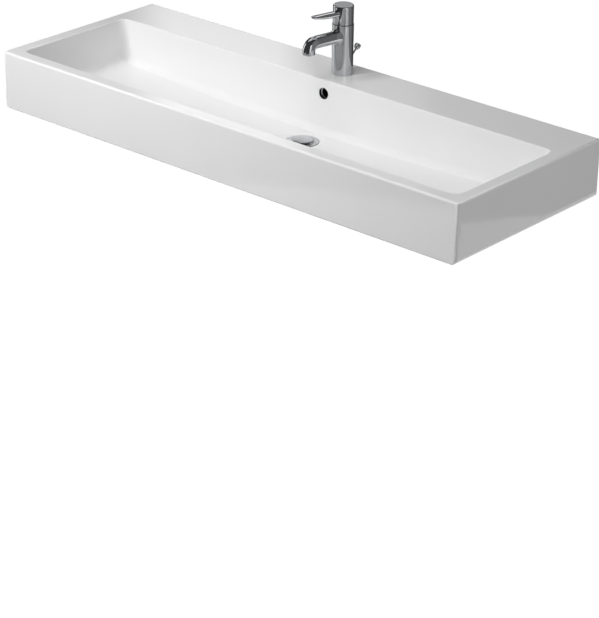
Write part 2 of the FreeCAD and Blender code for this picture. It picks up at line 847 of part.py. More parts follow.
def make_lift_stem():
    """Spool that opens the ports, with a flatted neck and a ball caught by the lever's yoke."""
    low = spool_low()
    top = low + spool_height
    spool = post(cartridge_bore_radius - run_gap, low, top)
    grooves = seal_grooves(spool_seal_heights(), cartridge_bore_radius - run_gap)
    neck = flatted_rod(stem_radius, stem_flat, top - chamfer, ball_height())
    ball = Part.makeSphere(stem_ball_radius, Vector(0, 0, ball_height()))
    return placed(spool.cut(grooves).fuse([neck, ball]), mixer_place)


def spool_seal_heights():
    """Starts of the spool's two seal grooves."""
    low = spool_low()
    return (low + spool_seal_inset, low + spool_height - spool_seal_inset - seal_groove_height)


def make_stem_seals():
    """Rubber rings on the spool."""
    outer = cartridge_bore_radius - run_gap
    return [placed(s, mixer_place) for s in seal_rings(spool_seal_heights(), outer)]


def lever_cap():
    """Hollow round cap with a rounded top edge."""
    inner = lever_radius - lever_wall
    roof = lever_height - lever_top
    cap = turned([(inner, lever_low), (lever_radius, lever_low), (lever_radius, lever_height), (0, lever_height),
                  (0, roof), (inner, roof)])
    crown = [e for e in cap.Edges if e.BoundBox.ZMin > lever_height - chamfer]
    return cap.makeFillet(lever_top_radius, crown)


def lever_relief():
    """Wedge taken off the back of the cap's lower edge, so that it clears the body when lifted."""
    far = lever_radius + over
    slope = lever_relief_rise / (lever_radius - lever_relief_start)
    high = lever_low + slope * (far - lever_relief_start)
    corners = [Vector(0, lever_relief_start, lever_low), Vector(0, far, high), Vector(0, far, lever_low - over),
               Vector(0, lever_relief_start, lever_low - over)]
    face = Part.Face(Part.makePolygon(corners + corners[:1]))
    return placed(face.extrude(X * (2 * far)), X * -far)


def lever_paddle():
    """Flat grip: its side outline crossed with its plan outline."""
    inner = lever_radius - lever_wall / 2
    side = soft_face([Vector(0, -inner, paddle_root_top), Vector(0, -paddle_reach, paddle_tip_top),
                      Vector(0, -paddle_reach, paddle_tip_bottom), Vector(0, -paddle_mid_reach, paddle_mid_bottom),
                      Vector(0, -inner, paddle_root_bottom)],
                     [0, paddle_edge_radius, paddle_edge_radius, paddle_under_radius, 0])
    plan = soft_face([Vector(-paddle_root_half_width, -inner, 0), Vector(-paddle_half_width, -paddle_reach, 0),
                      Vector(paddle_half_width, -paddle_reach, 0), Vector(paddle_root_half_width, -inner, 0)],
                     [0, paddle_tip_round, paddle_tip_round, 0])
    wide = placed(side.extrude(X * (4 * paddle_half_width)), X * (-2 * paddle_half_width))
    return placed(wide.common(plan.extrude(Z * lever_cap_height)), Z * lever_low)


def make_lever():
    """Cap and paddle cast in one, with two screw bosses under the roof."""
    roof = lever_height - lever_top
    hollow = post(lever_radius - lever_wall, lever_low - over, roof)
    cast = lever_cap().fuse(lever_paddle().cut(hollow))
    bosses = [post(yoke_boss_radius, yoke_top_height, roof, s * yoke_screw_offset, -yoke_screw_setback)
              for s in (-1, 1)]
    holes = [post(yoke_screw_radius + thread_gap, yoke_top_height - over, yoke_top_height + yoke_screw_length,
                  s * yoke_screw_offset, -yoke_screw_setback) for s in (-1, 1)]
    return placed(cast.fuse(bosses).cut([lever_relief()] + holes), mixer_place)


def make_lever_yoke():
    """Plate screwed under the lever: hinge ears at the back and a slot that lifts the stem's ball."""
    low = yoke_top_height - yoke_plate
    inside = lever_radius - lever_wall - seat_gap
    plate = post(inside, low, yoke_top_height)
    ears = [ear(yoke_ear_radius, low + over, a, b) for a, b in both_sides(yoke_ear_inner, yoke_ear_outer)]
    slot = soft_face([Vector(-yoke_slot_half_width, -yoke_slot_front, low - over),
                      Vector(yoke_slot_half_width, -yoke_slot_front, low - over),
                      Vector(yoke_slot_half_width, yoke_slot_back, low - over),
                      Vector(-yoke_slot_half_width, yoke_slot_back, low - over)],
                     [yoke_slot_half_width / 2] * 4).extrude(Z * (yoke_plate + 2 * over))
    pin = Part.makeCylinder(pin_radius + seat_gap, 2 * inside, Vector(-inside, pin_setback, pin_height), X)
    holes = [post(yoke_screw_radius + thread_gap, low - over, yoke_top_height + over, s * yoke_screw_offset,
                  -yoke_screw_setback) for s in (-1, 1)]
    keep = post(inside, body_height, yoke_top_height)
    return placed(plate.fuse(ears).common(keep).cut([slot, pin] + holes), mixer_place)


def make_yoke_screws():
    """Two small screws that hold the yoke in the lever."""
    low = yoke_top_height - yoke_plate
    tip = yoke_top_height + yoke_screw_length - over
    profile = [(0, low - yoke_screw_head), (yoke_screw_head_radius, low - yoke_screw_head),
               (yoke_screw_head_radius, low), (yoke_screw_radius, low), (yoke_screw_radius, tip), (0, tip)]
    return [placed(turned(profile, Vector(s * yoke_screw_offset, -yoke_screw_setback, 0)), mixer_place)
            for s in (-1, 1)]


def make_lever_pin():
    """Hinge pin through the yoke's and the carrier's ears."""
    half = yoke_ear_outer
    pin = Part.makeCylinder(pin_radius, 2 * half, Vector(-half, pin_setback, pin_height), X)
    return placed(pin, mixer_place)


def clamp_shape(low, thickness):
    """Horseshoe under the deck: open at the back for the hoses and the lift rod."""
    disc = post(clamp_radius, low, low + thickness)
    slot = block(Vector(-clamp_slot_half_width, -clamp_slot_front, low - over),
                 Vector(clamp_slot_half_width, clamp_radius + over, low + thickness + over))
    stud = post(mixer_stud_radius + seat_gap, low - over, low + thickness + over, 0, -mixer_stud_offset)
    return placed(disc.cut([slot, stud]), mixer_place)


def make_clamp_gasket():
    """Rubber horseshoe against the ceramic."""
    return clamp_shape(-deck_thickness - clamp_rubber, clamp_rubber)


def make_clamp_plate():
    """Steel horseshoe that spreads the nut's pull."""
    return clamp_shape(-deck_thickness - clamp_rubber - clamp_plate_thickness, clamp_plate_thickness)


def make_mixer_stud():
    """Threaded stud from the mixer's base down through the tap hole."""
    stud = post(mixer_stud_radius, -mixer_stud_tail, mixer_stud_engagement - chamfer, 0, -mixer_stud_offset)
    return placed(stud, mixer_place)


def make_mixer_nut():
    """Nut that clamps the mixer to the deck."""
    top = -deck_thickness - clamp_rubber - clamp_plate_thickness
    nut = hexagon(mixer_nut_flats, mixer_stud_radius + thread_gap, top - mixer_nut_height, top)
    return placed(nut, mixer_place + Vector(0, -mixer_stud_offset, 0))


# Lift rod and its knob

def knob_heading():
    """Direction of the slanted run, away from the body."""
    slope = math.radians(rod_slope_deg)
    return Vector(0, math.cos(slope), math.sin(slope))


def knob_base():
    """Inner end of the knob's neck on the slanted run."""
    centre = Vector(0, knob_setback, rod_height(knob_setback))
    return centre - knob_heading() * (knob_length / 2 + knob_neck_length)


def make_lift_rod():
    """Bent rod: upright through the tap hole, slanted out at the back of the body."""
    corner = Vector(0, rod_setback, rod_height(rod_setback))
    end = knob_base() + knob_heading() * (knob_socket - chamfer)
    path = bent_path(Vector(0, rod_setback, -rod_bottom), corner, end, rod_bend_radius)
    return placed(swept(rod_radius, path), mixer_place)


def make_lift_knob():
    """Small faceted knob on the rod's end."""
    total = knob_neck_length + knob_length
    profile = [(0, 0), (knob_neck_radius, 0), (knob_neck_radius, knob_neck_length),
               (knob_radius - knob_chamfer, knob_neck_length), (knob_radius, knob_neck_length + knob_chamfer),
               (knob_radius, total - knob_chamfer), (knob_radius - knob_chamfer, total), (0, total)]
    step = 2 * math.pi / knob_facets
    corners = [Vector(knob_radius * math.cos(k * step), knob_radius * math.sin(k * step), 0)
               for k in range(knob_facets)]
    facets = Part.Face(Part.makePolygon(corners + corners[:1])).extrude(Z * total)
    knob = turned(profile).common(facets).cut(post(rod_radius + seat_gap, -over, knob_socket))
    knob.Placement = FreeCAD.Placement(knob_base(), FreeCAD.Rotation(Z, knob_heading()))
    return placed(knob, mixer_place)


def crossing_height():
    """Height where the pivot rod passes the strap at rest."""
    return rim - port_depth - rod_travel / 2


def lug_heights():
    """Lower faces of the strap's two lugs."""
    top = rim - rod_bottom + strap_above_rod_end
    first = top - lug_first_drop - lug_thickness
    return (first, first - lug_spacing)


def make_link_strap():
    """Flat strap with two lugs for the lift rod and a row of holes for the pivot rod."""
    top = rim - rod_bottom + strap_above_rod_end
    bottom = rim - rod_bottom - strap_below_rod_end
    near = strap_y
    far = near + strap_thickness
    strap = block(Vector(-strap_half_width, near, bottom), Vector(strap_half_width, far, top))
    lugs = [block(Vector(-strap_half_width, rod_y - lug_reach, h), Vector(strap_half_width, near, h + lug_thickness))
            for h in lug_heights()]
    rod_hole = post(rod_radius + lug_hole_gap, bottom, top + over, 0, rod_y)
    holes = []
    for k in range(-strap_spare_holes, strap_spare_holes + 1):
        height = crossing_height() + k * strap_hole_pitch
        holes.append(bar(strap_hole_radius, Vector(0, near - over, height), Vector(0, far + over, height)))
    screw = bar(thumb_radius + thread_gap, Vector(0, near - over, thumb_height()),
                Vector(0, far + over, thumb_height()))
    return strap.fuse(lugs).cut([rod_hole, screw] + holes)


def thumb_height():
    """Thumbscrew's height, midway between the lugs."""
    upper, lower = lug_heights()
    return (upper + lower + lug_thickness) / 2


def make_strap_screw():
    """Thumbscrew that grips the lift rod through the strap."""
    tip = rod_y + rod_radius
    height = thumb_height()
    head_start = strap_y + strap_thickness + thumb_shank
    shank = bar(thumb_radius, Vector(0, tip, height), Vector(0, head_start, height))
    head = bar(thumb_head_radius, Vector(0, head_start, height), Vector(0, head_start + thumb_head, height))
    return shank.fuse(head)


# Pop-up waste, built about the drain axis with the rim at height zero

def flange_top():
    """Upper face of the flange's lip."""
    return -seat_depth + flange_gasket_thickness + flange_plate


def make_waste_flange():
    """Polished dished flange with a short threaded tube."""
    top = flange_top()
    under = top - flange_plate
    tube_end = top - flange_throat_fall - flange_tube_length
    profile = [(flange_tube_inner, tube_end), (flange_tube_radius, tube_end),
               (flange_tube_radius, top - flange_root_fall), (flange_neck_radius, top - flange_neck_fall),
               (flange_heel_radius, under), (flange_radius, under), (flange_radius, top - flange_edge),
               (flange_radius - flange_edge, top), (flange_lip_radius, top),
               (flange_shoulder_radius, top - flange_shoulder_fall),
               (flange_dish_radius, top - flange_dish_fall), (flange_throat_radius, top - flange_throat_fall),
               (flange_tube_inner, top - flange_throat_fall - flange_edge)]
    return placed(turned(profile), waste_place)


def make_flange_gasket():
    """Flat rubber ring under the flange."""
    low = -seat_depth
    gasket = ring(flange_gasket_outer, flange_gasket_inner, low, low + flange_gasket_thickness)
    return placed(gasket, waste_place)


def make_waste_body():
    """Brass tube with overflow windows, a side port for the pivot rod and a socket for the tailpiece."""
    top = -seat_depth - waste_top_below_seat
    socket_low = top - waste_socket_depth
    port = -port_depth
    shoulder = port - waste_shoulder_below_port
    tail_top = shoulder - waste_shoulder_height
    foot = tail_top - tail_socket_depth
    tube = turned([(waste_bore_radius, shoulder), (waste_shoulder_radius, shoulder), (waste_shoulder_radius, tail_top),
                   (tail_neck_radius + seat_gap, tail_top), (tail_neck_radius + seat_gap, foot), (waste_radius, foot),
                   (waste_radius, top), (flange_tube_radius + thread_gap, top),
                   (flange_tube_radius + thread_gap, socket_low), (waste_bore_radius, socket_low)])
    start = (waste_bore_radius + waste_radius) / 2
    boss = bar(port_boss_radius, Vector(0, start, port), Vector(0, port_boss_reach, port))
    boss = boss.cut(post(start, port - port_boss_radius, port + port_boss_radius))
    bore = bar(port_bore_radius, Vector(0, port_bore_start, port), Vector(0, port_boss_reach + over, port))
    hole = bar(port_hole_radius, Vector(0, 0, port), Vector(0, port_bore_start + over, port))
    return placed(tube.fuse(boss).cut([bore, hole] + overflow_windows()), waste_place)


def overflow_windows():
    """Crossed slots that let overflow water into the waste."""
    high = -seat_depth - waste_window_below_seat
    low = high - waste_window
    half = waste_window / 2
    reach = waste_radius + over
    return [block(Vector(-reach, -half, low), Vector(reach, half, high)),
            block(Vector(-half, -reach, low), Vector(half, reach, high))]


def make_lower_gasket():
    """Tapered rubber ring under the ceramic boss."""
    top = -boss_foot
    low = top - lower_gasket_thickness
    inner = waste_radius + thread_gap
    profile = [(inner, low), (lower_gasket_outer, low), (lower_gasket_outer, top), (inner, top)]
    return placed(turned(profile), waste_place)


def make_waste_nut():
    """Large back nut that clamps the waste to the ceramic."""
    top = -boss_foot - lower_gasket_thickness
    return placed(hexagon(waste_nut_flats, waste_radius + thread_gap, top - waste_nut_height, top), waste_place)


def make_tailpiece():
    """Outlet tube that a trap's nut and seal slide onto."""
    top = -port_depth - waste_shoulder_below_port - waste_shoulder_height
    low, step = top - tail_length, top - tail_socket_depth - tail_neck_bare
    bore = tail_radius - tail_wall
    profile = [(bore, low), (tail_radius, low), (tail_radius, step), (tail_neck_radius, step),
               (tail_neck_radius, top), (bore, top)]
    return placed(turned(profile), waste_place)


def make_pivot_seals():
    """Two cupped seals either side of the pivot rod's ball."""
    port = -port_depth
    outer = port_bore_radius - seat_gap
    ball = Part.makeSphere(ball_radius + free_gap, Vector(0, ball_offset, port))
    cups = []
    for start in (port_bore_start + seat_gap, ball_offset + over):
        tube = bar(outer, Vector(0, start, port), Vector(0, start + seal_cup_length, port))
        hole = bar(seal_cup_hole, Vector(0, start - over, port), Vector(0, start + seal_cup_length + over, port))
        cups.append(placed(tube.cut([hole, ball]), waste_place))
    return cups


def make_pivot_gland():
    """Plastic bush between the outer seal and the pivot nut."""
    port = -port_depth
    start = ball_offset + over + seal_cup_length
    tube = bar(port_bore_radius - seat_gap, Vector(0, start, port), Vector(0, port_boss_reach, port))
    hole = bar(gland_hole, Vector(0, start - over, port), Vector(0, port_boss_reach + over, port))
    ball = Part.makeSphere(ball_radius + free_gap, Vector(0, ball_offset, port))
    return placed(tube.cut([hole, ball]), waste_place)


def make_pivot_nut():
    """Ribbed cap nut on the side port."""
    port = -port_depth
    start = port_boss_reach - pivot_nut_engagement
    end = port_boss_reach + pivot_nut_wall
    body = bar(pivot_nut_radius, Vector(0, start, port), Vector(0, end, port))
    thread = bar(port_boss_radius + thread_gap, Vector(0, start - over, port), Vector(0, port_boss_reach, port))
    hole = bar(pivot_nut_hole, Vector(0, start, port), Vector(0, end + over, port))
    return placed(body.cut([thread, hole]), waste_place)


def pivot_heading():
    """Direction of the pivot rod's outer arm at rest: its far end hangs low."""
    return Vector(0, math.cos(half_swing), -math.sin(half_swing))


def make_pivot_rod():
    """Ball with a slim inner arm in the plug's eye and a long outer arm through the strap."""
    centre = Vector(0, ball_offset, -port_depth)
    heading = pivot_heading()
    inner_length = (ball_offset + pivot_inner_overrun) / math.cos(half_swing)
    outer_length = (drain_setback - ball_offset - pivot_outer_end) / math.cos(half_swing)
    ball = Part.makeSphere(ball_radius, centre)
    inner_arm = bar(pivot_inner_radius, centre, centre - heading * inner_length)
    outer_arm = bar(pivot_outer_radius, centre, centre + heading * outer_length)
    return placed(ball.fuse([inner_arm, outer_arm]), waste_place)


def make_spring_clip():
    """Bent strip on the pivot rod with an arm on each side of the strap."""
    middle = Vector(0, strap_y + strap_thickness / 2, crossing_height())
    arms = []
    for side in (-1, 1):
        y = side * clip_arm_offset
        arms.append(block(Vector(-clip_inner, min(y, y + side * clip_thickness), -clip_half_height),
                          Vector(clip_bridge, max(y, y + side * clip_thickness), clip_half_height)))
    reach = clip_arm_offset + clip_thickness
    bridge = block(Vector(clip_bridge, -reach, -clip_half_height),
                   Vector(clip_bridge + clip_thickness, reach, clip_half_height))
    hole = bar(pivot_outer_radius + seat_gap, Vector(0, -reach - over, 0), Vector(0, reach + over, 0))
    clip = arms[0].fuse([arms[1], bridge]).cut(hole)
    clip.Placement = FreeCAD.Placement(middle, FreeCAD.Rotation(Y, pivot_heading()))
    return clip


def eye_height():
    """Centre of the plug's eye at rest, on the inner arm's line."""
    return -port_depth + ball_offset * math.tan(half_swing)


def plug_lift():
    """The open plug's rise above its closed place, which the drawing below is made in."""
    return Z * plug_travel


def make_plug():
    """Domed stopper, open at rest: crossed fins guide it and a blade with an eye takes the pivot rod."""
    crown = flange_top() + plug_proud
    edge_top = crown - plug_crown
    under = edge_top - plug_edge - plug_under_fall
    hub = under - plug_hub_depth
    dome = Part.makeSphere(dome_radius(), Vector(0, 0, crown - dome_radius()))
    head = turned([(0, under), (plug_under_radius, under), (plug_radius, edge_top - plug_edge),
                   (plug_radius, crown), (0, crown)]).common(dome)
    foot = eye_height() - plug_travel - eye_blade_foot
    fins = [block(Vector(-fin_radius, -fin_thickness / 2, hub - fin_depth), Vector(fin_radius, fin_thickness / 2, hub)),
            block(Vector(-fin_thickness / 2, -fin_radius, hub - fin_depth), Vector(fin_thickness / 2, fin_radius, hub))]
    blade = block(Vector(-eye_blade_half_width, -fin_thickness / 2, foot),
                  Vector(eye_blade_half_width, fin_thickness / 2, hub))
    eye = bar(eye_radius, Vector(0, -fin_radius, eye_height() - plug_travel),
              Vector(0, fin_radius, eye_height() - plug_travel))
    plug = head.fuse([post(plug_hub_radius, hub, under), blade] + fins).cut(eye)
    return placed(plug, waste_place + plug_lift())


def dome_radius():
    """Radius of the plug's crown from its width and rise."""
    return (plug_radius ** 2 + plug_crown ** 2) / (2 * plug_crown)


def make_plug_seal():
    """Rubber ring under the stopper's head."""
    crown = flange_top() + plug_proud
    under = crown - plug_crown - plug_edge - plug_under_fall
    seal = ring(plug_seal_radius, plug_hub_radius + seat_gap, under - plug_hub_depth, under)
    return placed(seal, waste_place + plug_lift())


makers = {
    "basin": make_basin,
    "overflow_duct": make_overflow_duct,
    "overflow_ring": make_overflow_ring,
    "wall_studs": make_wall_studs,
    "stud_sleeves": make_stud_sleeves,
    "stud_washers": make_stud_washers,
    "stud_nuts": make_stud_nuts,
    "mixer_body": make_mixer_body,
    "base_gasket": make_base_gasket,
    "mixer_stud": make_mixer_stud,
    "clamp_gasket": make_clamp_gasket,
    "clamp_plate": make_clamp_plate,
    "mixer_nut": make_mixer_nut,
    "aerator_housing": make_aerator_housing,
    "aerator_insert": make_aerator_insert,
    "aerator_seal": make_aerator_seal,
    "cartridge_sleeve": make_cartridge_sleeve,
    "cartridge_seals": make_cartridge_seals,
    "cartridge_nut": make_cartridge_nut,
    "swivel_carrier": make_swivel_carrier,
    "lift_stem": make_lift_stem,
    "stem_seals": make_stem_seals,
    "lever": make_lever,
    "lever_yoke": make_lever_yoke,
    "yoke_screws": make_yoke_screws,
    "lever_pin": make_lever_pin,
    "lift_rod": make_lift_rod,
    "lift_knob": make_lift_knob,
    "link_strap": make_link_strap,
    "strap_screw": make_strap_screw,
    "spring_clip": make_spring_clip,
    "waste_flange": make_waste_flange,
    "flange_gasket": make_flange_gasket,
    "waste_body": make_waste_body,
    "lower_gasket": make_lower_gasket,
    "waste_nut": make_waste_nut,
    "tailpiece": make_tailpiece,
    "pivot_rod": make_pivot_rod,
    "pivot_seals": make_pivot_seals,
    "pivot_gland": make_pivot_gland,
    "pivot_nut": make_pivot_nut,
    "plug": make_plug,
    "plug_seal": make_plug_seal,
}

os.makedirs("parts", exist_ok=True)
for name, make in makers.items():
    made = make()
    solids = made if isinstance(made, list) else [made]
    shape = Part.makeCompound([s for piece in solids for s in piece.Solids])
    shape.exportStep(os.path.join("parts", name + ".step"))
    print(name, len(shape.Solids), "solids", round(shape.Volume), "mm3", "valid", shape.isValid())

stem_rise = (yoke_top_height - pin_height) * (1 / math.cos(math.radians(lever_lift_deg)) - 1) \
    + pin_setback * math.tan(math.radians(lever_lift_deg))
print("lever swing deg", -lever_swing_deg, "to", lever_swing_deg, "lift deg", lever_lift_deg)
print("pivot swing deg", round(math.degrees(2 * half_swing), 4))
print("stem rise", round(stem_rise, 3), "plug travel", round(plug_travel, 3), "rod travel", rod_travel)
print("pin", mixer_place + Vector(0, pin_setback, pin_height))
print("ball", waste_place + Vector(0, ball_offset, -port_depth))
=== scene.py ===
# %% [markdown]
# A wall-hung washbasin with a single-lever mixer, dressed for a photograph.
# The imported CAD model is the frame: it holds every piece at its real size and place, in metres.
# Loading it first means that each piece made here can ask the frame where it belongs.

# %% Load the frame
import json
import math

import bmesh
import bpy
from mathutils import Matrix, Vector


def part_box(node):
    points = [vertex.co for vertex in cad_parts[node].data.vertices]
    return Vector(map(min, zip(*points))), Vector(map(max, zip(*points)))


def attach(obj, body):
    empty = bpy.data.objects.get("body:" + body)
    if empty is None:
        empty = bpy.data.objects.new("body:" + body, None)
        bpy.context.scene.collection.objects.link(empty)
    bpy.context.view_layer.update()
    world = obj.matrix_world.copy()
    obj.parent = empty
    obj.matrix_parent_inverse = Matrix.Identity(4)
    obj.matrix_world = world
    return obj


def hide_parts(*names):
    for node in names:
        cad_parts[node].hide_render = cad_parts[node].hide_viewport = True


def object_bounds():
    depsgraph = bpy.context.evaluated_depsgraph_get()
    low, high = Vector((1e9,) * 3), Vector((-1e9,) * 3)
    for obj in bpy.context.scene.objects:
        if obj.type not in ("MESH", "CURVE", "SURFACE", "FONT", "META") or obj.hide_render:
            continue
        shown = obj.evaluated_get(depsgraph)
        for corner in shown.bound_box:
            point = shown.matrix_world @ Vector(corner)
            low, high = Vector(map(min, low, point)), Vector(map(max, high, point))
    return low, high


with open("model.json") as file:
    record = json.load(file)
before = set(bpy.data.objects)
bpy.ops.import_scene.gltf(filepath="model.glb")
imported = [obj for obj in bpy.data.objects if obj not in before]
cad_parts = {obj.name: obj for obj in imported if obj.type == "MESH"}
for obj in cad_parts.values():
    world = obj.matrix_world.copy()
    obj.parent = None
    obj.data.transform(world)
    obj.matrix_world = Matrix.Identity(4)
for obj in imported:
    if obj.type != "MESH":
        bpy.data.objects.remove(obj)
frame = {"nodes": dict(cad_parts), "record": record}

nodes = frame["nodes"]
cad_low, cad_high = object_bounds()
print("CAD box", [round(v, 4) for v in cad_low], [round(v, 4) for v in cad_high])

# %% [markdown]
# Millimetres read better than metres for a tap, so sizes are written in millimetres and multiplied by MM.
# Colours are written as on a paint chart, in sRGB hex, and one function turns them into the linear
# numbers that Cycles computes with. Shaders and Geometry Nodes are trees of the same kind, so one function
# adds a node to either.

# %% Units, colours and one function that adds a node
MM = 0.001
math_node = "ShaderNodeMath"


def colour(code):
    """Linear RGBA from an sRGB hex code."""
    parts = [int(code[i:i + 2], 16) / 255 for i in (0, 2, 4)]
    return tuple(c / 12.92 if c <= 0.04045 else ((c + 0.055) / 1.055) ** 2.4 for c in parts) + (1.0,)


def add(tree, kind, settings=None, values=None, links=None):
    """Adds a node with its settings, its socket values and its links, given as {socket: (node, output)}."""
    made = tree.nodes.new(kind)
    for name, value in (settings or {}).items():
        setattr(made, name, value)
    for socket, value in (values or {}).items():
        made.inputs[socket].default_value = value
    for socket, (source, output) in (links or {}).items():
        tree.links.new(source.outputs[output], made.inputs[socket])
    return made


print("mid grey 808080 is", round(colour("808080")[0], 3), "in linear light")

# %% [markdown]
# Three things are done again and again below: an object is put into the scene, a finished bmesh becomes a
# mesh, and a new material or world starts with an empty tree. Each gets a small function of its own.

# %% Objects, meshes and empty trees
scene = bpy.context.scene


def put(name, data):
    """A new object in the scene, at the origin."""
    made = bpy.data.objects.new(name, data)
    scene.collection.objects.link(made)
    return made


def meshed(name, made):
    """A mesh from a bmesh, which is freed."""
    data = bpy.data.meshes.new(name)
    made.to_mesh(data)
    made.free()
    return data


def cleared(owner):
    """The empty node tree of a new material or world."""
    owner.use_nodes = True
    owner.node_tree.nodes.clear()
    return owner.node_tree


print("scene", scene.name, "has", len(nodes), "CAD nodes")

# %% [markdown]
# The camera stands to the front right and looks down on the basin, as a catalogue photographer would,
# with a long lens from five metres so that the long edges stay nearly parallel. A trace of roll levels it.

# %% Camera
camera_place = Vector((2.9433, -3.5613, 1.6983))
camera_yaw, camera_pitch, camera_roll = 0.7161, 0.4423, 0.014
focal_pixels, image_long_side = 2372.4, 618
ahead = Vector((-math.sin(camera_yaw) * math.cos(camera_pitch),
                math.cos(camera_yaw) * math.cos(camera_pitch),
                -math.sin(camera_pitch)))
level = Vector((math.cos(camera_yaw), math.sin(camera_yaw), 0))
upward = level.cross(ahead)
right = level * math.cos(camera_roll) + upward * math.sin(camera_roll)
upward = upward * math.cos(camera_roll) - level * math.sin(camera_roll)
camera = put("camera", bpy.data.cameras.new("camera"))
camera.matrix_world = Matrix.Translation(camera_place) @ Matrix((right, upward, -ahead)).transposed().to_4x4()
camera.data.sensor_width = 36
camera.data.lens = camera.data.sensor_width * focal_pixels / image_long_side
camera.data.clip_end = 50
scene.camera = camera
print("camera lens", round(camera.data.lens, 1), "mm")

# %% [markdown]
# The studio is a white sweep. The world shows white to the camera and to mirror rays, and sheds only a
# soft grey light, so the white background doesn't flood the glaze.

# %% World
world_shed, world_shown = 0.2, 1.0
world = bpy.data.worlds.new("studio")
scene.world = world
tree = cleared(world)
path = add(tree, "ShaderNodeLightPath")
seen = add(tree, math_node, {"operation": "MAXIMUM"}, None,
           {0: (path, "Is Camera Ray"), 1: (path, "Is Glossy Ray")})
seen = add(tree, math_node, {"operation": "MAXIMUM"}, None, {0: (seen, 0), 1: (path, "Is Transmission Ray")})
shed = add(tree, "ShaderNodeBackground", None, {"Color": colour("FFFFFF"), "Strength": world_shed})
shown = add(tree, "ShaderNodeBackground", None, {"Color": colour("FFFFFF"), "Strength": world_shown})
both = add(tree, "ShaderNodeMixShader", None, None, {0: (seen, 0), 1: (shed, 0), 2: (shown, 0)})
add(tree, "ShaderNodeOutputWorld", None, None, {"Surface": (both, 0)})
print("world sheds", world_shed, "and shows", world_shown)

# %% [markdown]
# White ware is lit by a few softboxes, because a lamp with a large face casts a soft shadow. The key is the
# smallest and stands in front, a little to the left, where it draws the tap's shadow. The larger ones hang
# overhead and stand off the right end. Sun lamps would be simpler, but they light every face of one
# direction alike, and the long front would lose its gradient. Camera and mirror rays pass the lamps by:
# what the chrome mirrors is arranged by itself in the next step.

# %% Lamps
basin_middle = Vector((0, -0.2, 0.02))
softboxes = [
    # name, place and side in metres, watts
    ("key_softbox", Vector((-0.67, -1.75, 1.07)), 0.5, 26.5),
    ("top_softbox", Vector((0.15, -0.9, 2.3)), 1.1, 14),
    ("side_softbox", Vector((2.7, -0.1, 0.55)), 1.2, 13),
]
for name, place, side, watts in softboxes:
    lamp = bpy.data.lights.new(name, "AREA")
    lamp.shape, lamp.size, lamp.energy = "SQUARE", side, watts
    made = put(name, lamp)
    made.visible_glossy = made.visible_camera = False
    facing = (basin_middle - place).to_track_quat("-Z", "Y").to_matrix().to_4x4()
    made.matrix_world = Matrix.Translation(place) @ facing

# %% [markdown]
# Polished chrome has no colour of its own: it shows the room. In an all-white room a tap turns to milk, so a
# photographer hangs a dark tent round it and opens it in a few places: each opening is a patch of light whose
# outline the metal draws. The tent here is a dome that only mirror rays see, so it doesn't hide the white
# background, and it neither lights nor shades the basin. A patch is given by its bearing, 0 in front and
# rising to the right, by its height over the horizon, both in degrees, and by its brightness.

# %% Tent of dark cloth
tent_middle, tent_radius, tent_grey = Vector((0, -0.057, 0.12)), 2.4, 0.05
tent_sides, tent_rows = 48, 24
made = bmesh.new()
bmesh.ops.create_uvsphere(made, u_segments=tent_sides, v_segments=tent_rows, radius=tent_radius)
bmesh.ops.translate(made, vec=tent_middle, verts=made.verts)
tent = put("tent", meshed("tent", made))
tent.visible_camera = tent.visible_diffuse = tent.visible_shadow = tent.visible_transmission = False
print("tent", len(tent.data.polygons), "faces")

# %% Patches of light in the tent
tent_patches = [
    # label, bearing, half its width, height, half its height, brightness
    ("behind_low", 218, 5, 22, 7, 0.42),
    ("behind_left", 229, 6, 20, 9, 1.50),
    ("behind_right", 206, 8, 15, 6, 0.18),
    ("behind_high", 195, 13, 38, 8, 1.15),
    ("overhead", 225, 70, 66, 17, 0.75),
    ("right_grey", 107, 28, 8, 42, 0.21),
    ("spout_grey", 147, 13, 8, 42, 0.15),
    ("right_strip", 65, 12, 0, 38, 1.00),
    ("left_strip", -74, 12, 4, 22, 1.25),
    ("front_slit", -14, 4, -16, 10, 0.80),
]
patch_softness = 2.5
cloth = bpy.data.materials.new("grey_tent_cloth_with_light_patches")
tree = cleared(cloth)
place = add(tree, "ShaderNodeTexCoord")
away = add(tree, "ShaderNodeVectorMath", {"operation": "SUBTRACT"}, {1: tent_middle}, {0: (place, "Object")})
axes = add(tree, "ShaderNodeSeparateXYZ", None, None, {0: (away, 0)})
front = add(tree, math_node, {"operation": "MULTIPLY"}, {1: -1.0}, {0: (axes, "Y")})
bearing = add(tree, math_node, {"operation": "ARCTAN2"}, None, {0: (axes, "X"), 1: (front, 0)})
tall = add(tree, math_node, {"operation": "DIVIDE"}, {1: tent_radius}, {0: (axes, "Z")})
rise = add(tree, math_node, {"operation": "ARCSINE"}, None, {0: (tall, 0)})
light = add(tree, "ShaderNodeValue")
light.outputs[0].default_value = tent_grey
